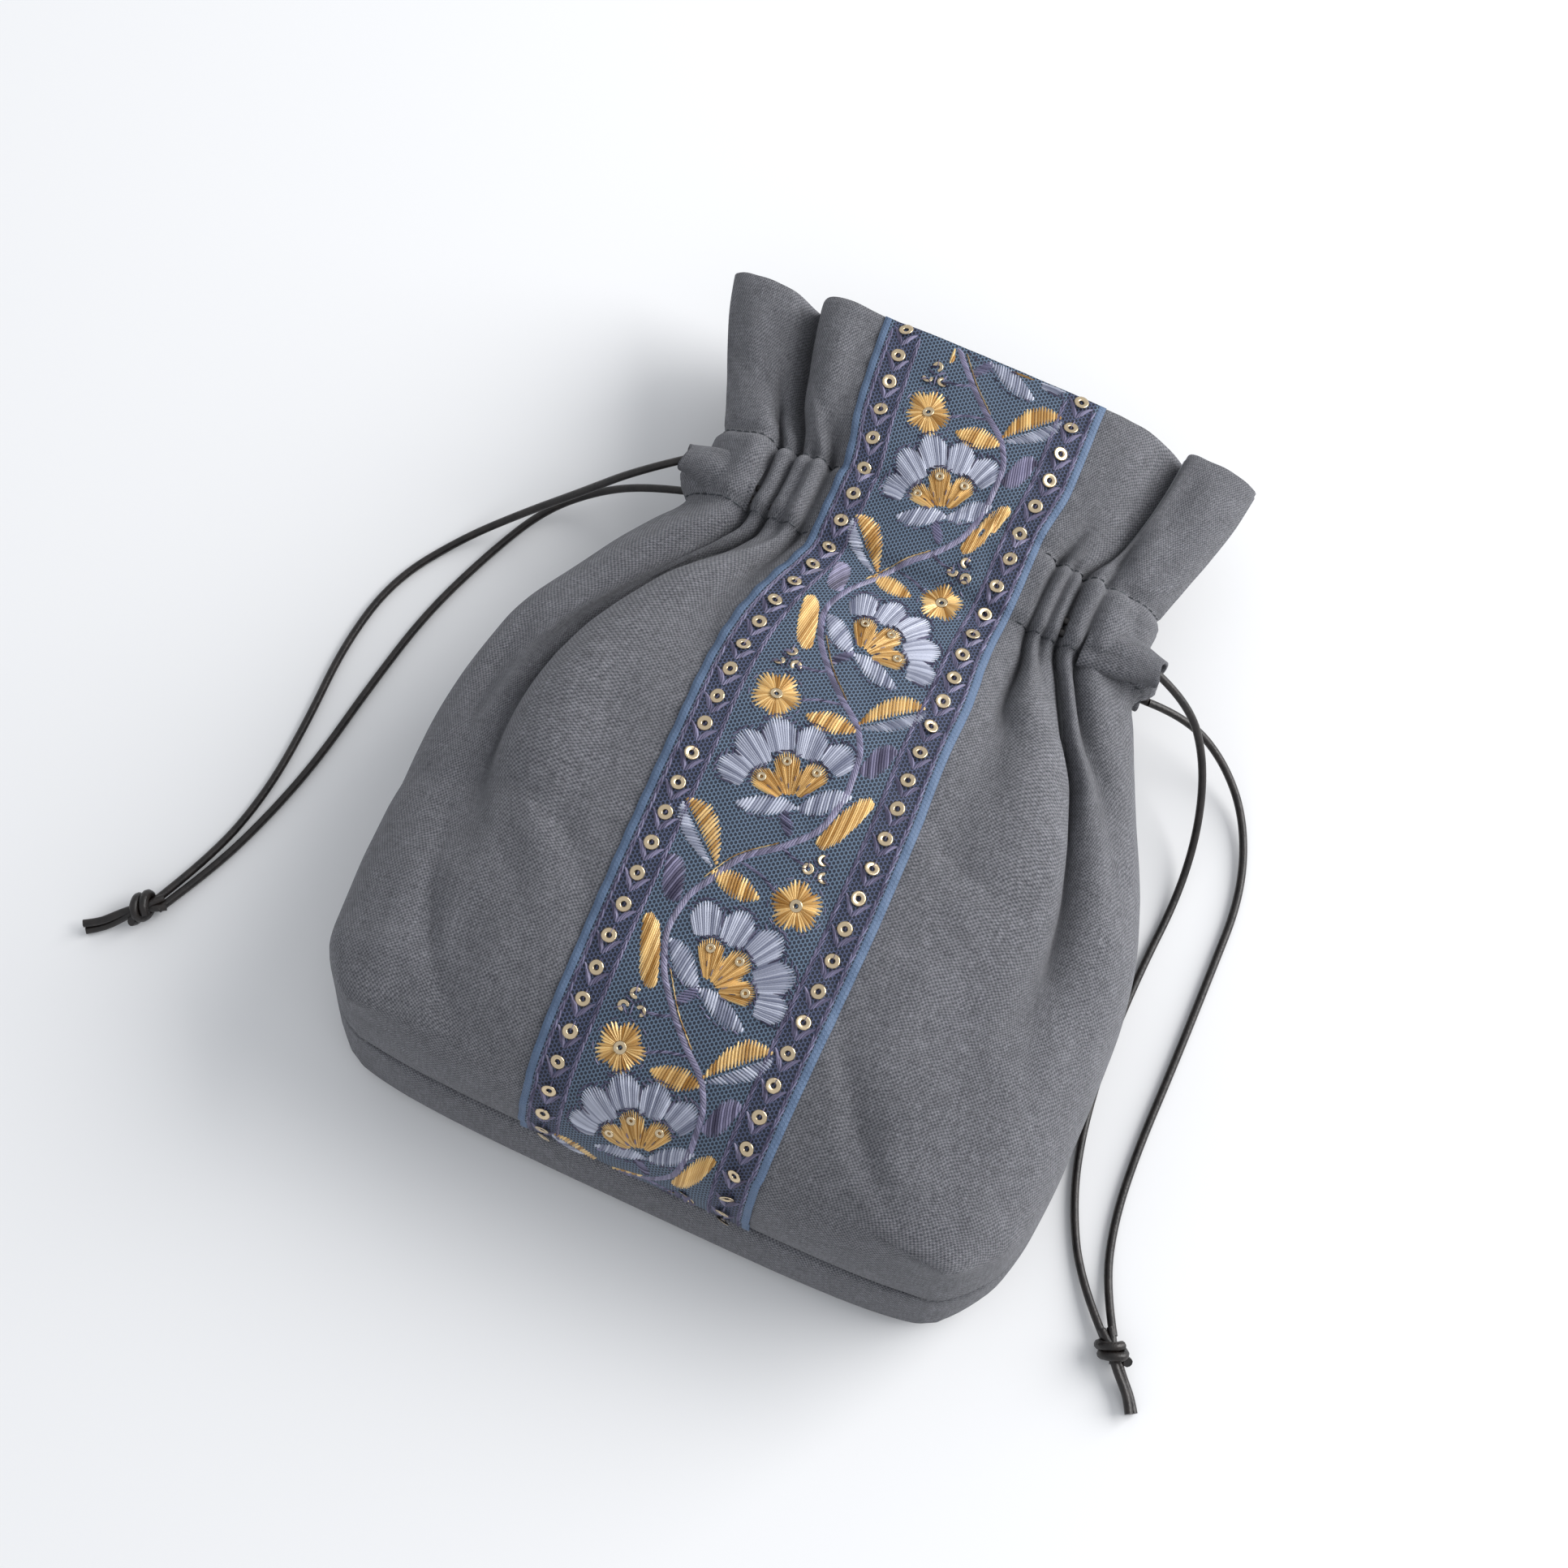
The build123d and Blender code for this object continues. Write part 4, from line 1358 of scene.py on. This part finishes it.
def sequin_trio(side, start, centre):
    """Three sequins in a clover, tied down with dark thread."""
    for angle in (100, 215, 335):
        spot = polar(centre, angle, 2.1)
        sequin_spots.append((swung(side, spot, start), 0.78, 0.55))
        for way in (angle, angle + 100):
            stem.add(swung(side, spot, start), swung(side, polar(spot, way, 1.9), start), 0.36, 0.75)
    for angle in (40, 160, 275):
        stem.add(swung(side, centre, start), swung(side, polar(centre, angle, 2.4), start), 0.4, 0.6)


# The vine through one repeat, and the small twigs of each half repeat.
vine = [
    (11.0, 0.6), (10.6, 8.0), (8.1, 14.3), (1.4, 20.4), (-3.5, 25.4), (-9.1, 33.2), (-11.3, 40.6),
    (-10.4, 46.8), (-7.2, 53.0), (-3.5, 59.1), (3.9, 65.3), (9.4, 72.7), (11.0, 80.7),
]
twigs = [
    [(-5.4, 15.6), (-1.5, 17.4), (3.4, 18.4)],
    [(-8.8, 23.0), (-6.0, 23.4), (-2.6, 24.8)],
]
repeat = 80.1
first_flower = 23.5

for number in range(-1, 3):
    start = first_flower + number * repeat
    rope(stem, [swung(1, p, start) for p in vine], 1.2, 0.85, 2.5, 28, (0.25, 0.9))
    for bend, beside in ((vine[3:6], 1.3), (vine[8:11], -1.3)):
        accent = [swung(1, (a + beside, b), start) for a, b in bend]
        rope(gold, accent, 0.34, 1.7, 2.0, 4)
    for side, shift, flower_base in ((1, 0.0, (1.0, -6.6)), (-1, 40.0, (-1.0, -8.4))):
        here = start + shift
        big_flower(side, here, flower_base, 0.98)
        leaf(stem, side, here, (11.6, 6.0), (17.4, 13.6), 2.8, 52, 14, 0.92)
        gold_flower(side, here, (-10.6, 14.5), 5.5)
        leaf(gold, side, here, (-3.2, 12.9), (7.9, 13.9), 2.6, 78, 17, 0.78)
        leaf(gold, side, here, (7.6, 15.2), (19.0, 25.6), 4.7, 66, 20, 0.82, 1)
        leaf(satin, side, here, (7.8, 14.9), (19.0, 25.2), 3.1, 56, 20, 0.78, -1)
        sequin_trio(side, here, (-11.6, 23.5))
        leaf(gold, side, here, (-9.0, 28.6), (-16.9, 40.4), 2.7, -32, 18, 0.82)
        for twig in twigs:
            rope(stem, [swung(side, p, here) for p in twig], 0.5, 0.9, 1.8, 20)
        leaf(stem, side, here, (3.2, -13.2), (0.8, -8.0), 1.5, 50, 8, 0.6)

# Both borders: a column of sequins, each over a chevron of small leaves, between two ropes.
sequin_gap = 6.85
sequin_column = 21.6
border_ropes = ((17.9, 10), (18.25, -10), (24.9, 10), (25.2, -10))
for side in (-1, 1):
    for row in np.arange(2.6, cloth_end - 1, sequin_gap):
        wander = 0.35 * (chance.random() - 0.5)
        column = side * sequin_column + wander
        sequin_spots.append(((column, row), 1.0, 1.0))
        stem.add((column, row - 0.1), (column + 0.2, row + 2.3), 0.46, 0.62)
        for way in (-1, 1):
            for k in (0, 1, 2):
                foot = (column + way * (0.15 + 0.45 * k), row - 3.9 + 0.45 * k)
                tip_row = row - 1.2 + 0.45 * k + 0.5 * chance.random()
                tip = (column + way * (1.75 + 0.55 * k), tip_row)
                rise = 0.60 if k == 1 else 0.50
                stem.add(foot, tip, 0.85, rise, 0.10 * way, (0.25, 0.85))
    for column, slant in border_ropes:
        line = [(side * column, 0.8), (side * column, cloth_end / 2), (side * column, cloth_end)]
        rope(stem, line, 0.56, 2.0, 2.7, slant, (0.15, 0.75))

thread_pieces = (
    (satin, satin_thread, "satin_thread", ("satin_flowers", "frill_satin_flowers")),
    (gold, gold_thread, "gold_thread", ("gold_embroidery", "frill_gold_embroidery")),
    (stem, stem_thread, "stem_thread", ("stem_stitches", "frill_stem_stitches")),
)
for stitches, material, slot, nodes in thread_pieces:
    piece = stitches.build(material)
    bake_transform(piece)
    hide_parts(*nodes)


# ---- the sequins --------------------------------------------------------------------------
# Cupped champagne metal rings, about 3.3 mm across, each held by a thread through its hole.
sequin_middle = 1.06
sequin_edge = 0.58
sequin_flatness = 0.16
sequin_cup = 0.12
sequin_metal, _, _, shader = node_material("sequin", 0.22)
shader.inputs["Base Color"].default_value = (0.66, 0.53, 0.35, 1)
shader.inputs["Metallic"].default_value = 0.9

clear_selection()
bpy.ops.mesh.primitive_torus_add(
    major_radius=sequin_middle * MM,
    minor_radius=sequin_edge * MM,
    major_segments=18,
    minor_segments=6,
)
master = bpy.context.object
master.name = "sequin_master"
for vertex in master.data.vertices:
    reach = math.hypot(vertex.co.x, vertex.co.y) / MM
    vertex.co.z = vertex.co.z * sequin_flatness + sequin_cup * MM * (reach - sequin_middle)
bpy.ops.object.shade_smooth()


def placed_sequin(spot, size, height, tilt):
    """A copy of the sequin lying on the ribbon at a place, tipped a little."""
    place, facing = on_cloth(np.array([spot[0]]), np.array([spot[1]]))
    up = Vector(facing[0])
    turn = up.to_track_quat("Z", "Y")
    lean = Vector((tilt[0], tilt[1], 1)).normalized().to_track_quat("Z", "Y")
    copy = new_piece("sequin_copy", master.data.copy())
    copy.matrix_world = (
        Matrix.Translation((Vector(place[0]) + up * height) * MM)
        @ (turn @ lean).to_matrix().to_4x4()
        @ Matrix.Scale(size, 4)
    )
    return copy


def fits_on_ribbon(spot):
    return 1.0 < spot[1] < cloth_end - 1.5


def group_of(spot):
    """The piece a sequin belongs to: one of the border columns or the flowers."""
    if abs(spot[0]) < 19:
        return "flowers"
    return "left" if spot[0] < 0 else "right"


most_tilt = 0.55
tiny_size = 0.62
tiny_height = 1.05
groups = {"left": [], "right": [], "flowers": []}
for spot, size, height in sequin_spots:
    if fits_on_ribbon(spot):
        tilt = (most_tilt * (chance.random() - 0.5), most_tilt * (chance.random() - 0.5))
        groups[group_of(spot)].append(placed_sequin(spot, size, height, tilt))
for spot in tiny_spots:
    if fits_on_ribbon(spot):
        groups["flowers"].append(placed_sequin(spot, tiny_size, tiny_height, (0, 0)))
replaced = {"left": "sequin_row_left", "right": "sequin_row_right", "flowers": "frill_sequins"}
for group, copies in groups.items():
    pick(*copies)
    bpy.ops.object.join()
    bpy.ops.object.transform_apply(location=True, rotation=True, scale=True)
    piece = bpy.context.object
    piece.name = f"sequins_{group}"
    piece.data.materials.clear()
    piece.data.materials.append(sequin_metal)
    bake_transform(piece)
    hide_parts(replaced[group])
bpy.data.objects.remove(master)


# ---- the casing's stitches ----------------------------------------------------------------
# Two rows of slate sewing thread on each side, just above and below the cords' channel.
sewing_dark, sewing_light = (0.030, 0.034, 0.040), (0.085, 0.095, 0.105)
sewing_thread = thread_material("sewing_thread", sewing_dark, sewing_light, 0.0, 0.6)
seam_pitch = 2.9
seam_stitch = 2.1
for name, front in (("front_seam_stitches", True), ("back_seam_stitches", False)):
    seam = Stitches(name, front, 0.02)
    for row in stitch_rows:
        for p in np.arange(-92, 92, seam_pitch):
            if front and abs(p) < ribbon_half + 0.5:
                continue
            seam.add((p, row), (p + seam_stitch, row + 0.1), 0.42, 0.30)
    piece = seam.build(sewing_thread)
    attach(piece, "root")
    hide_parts("front_casing_stitches" if front else "back_casing_stitches")
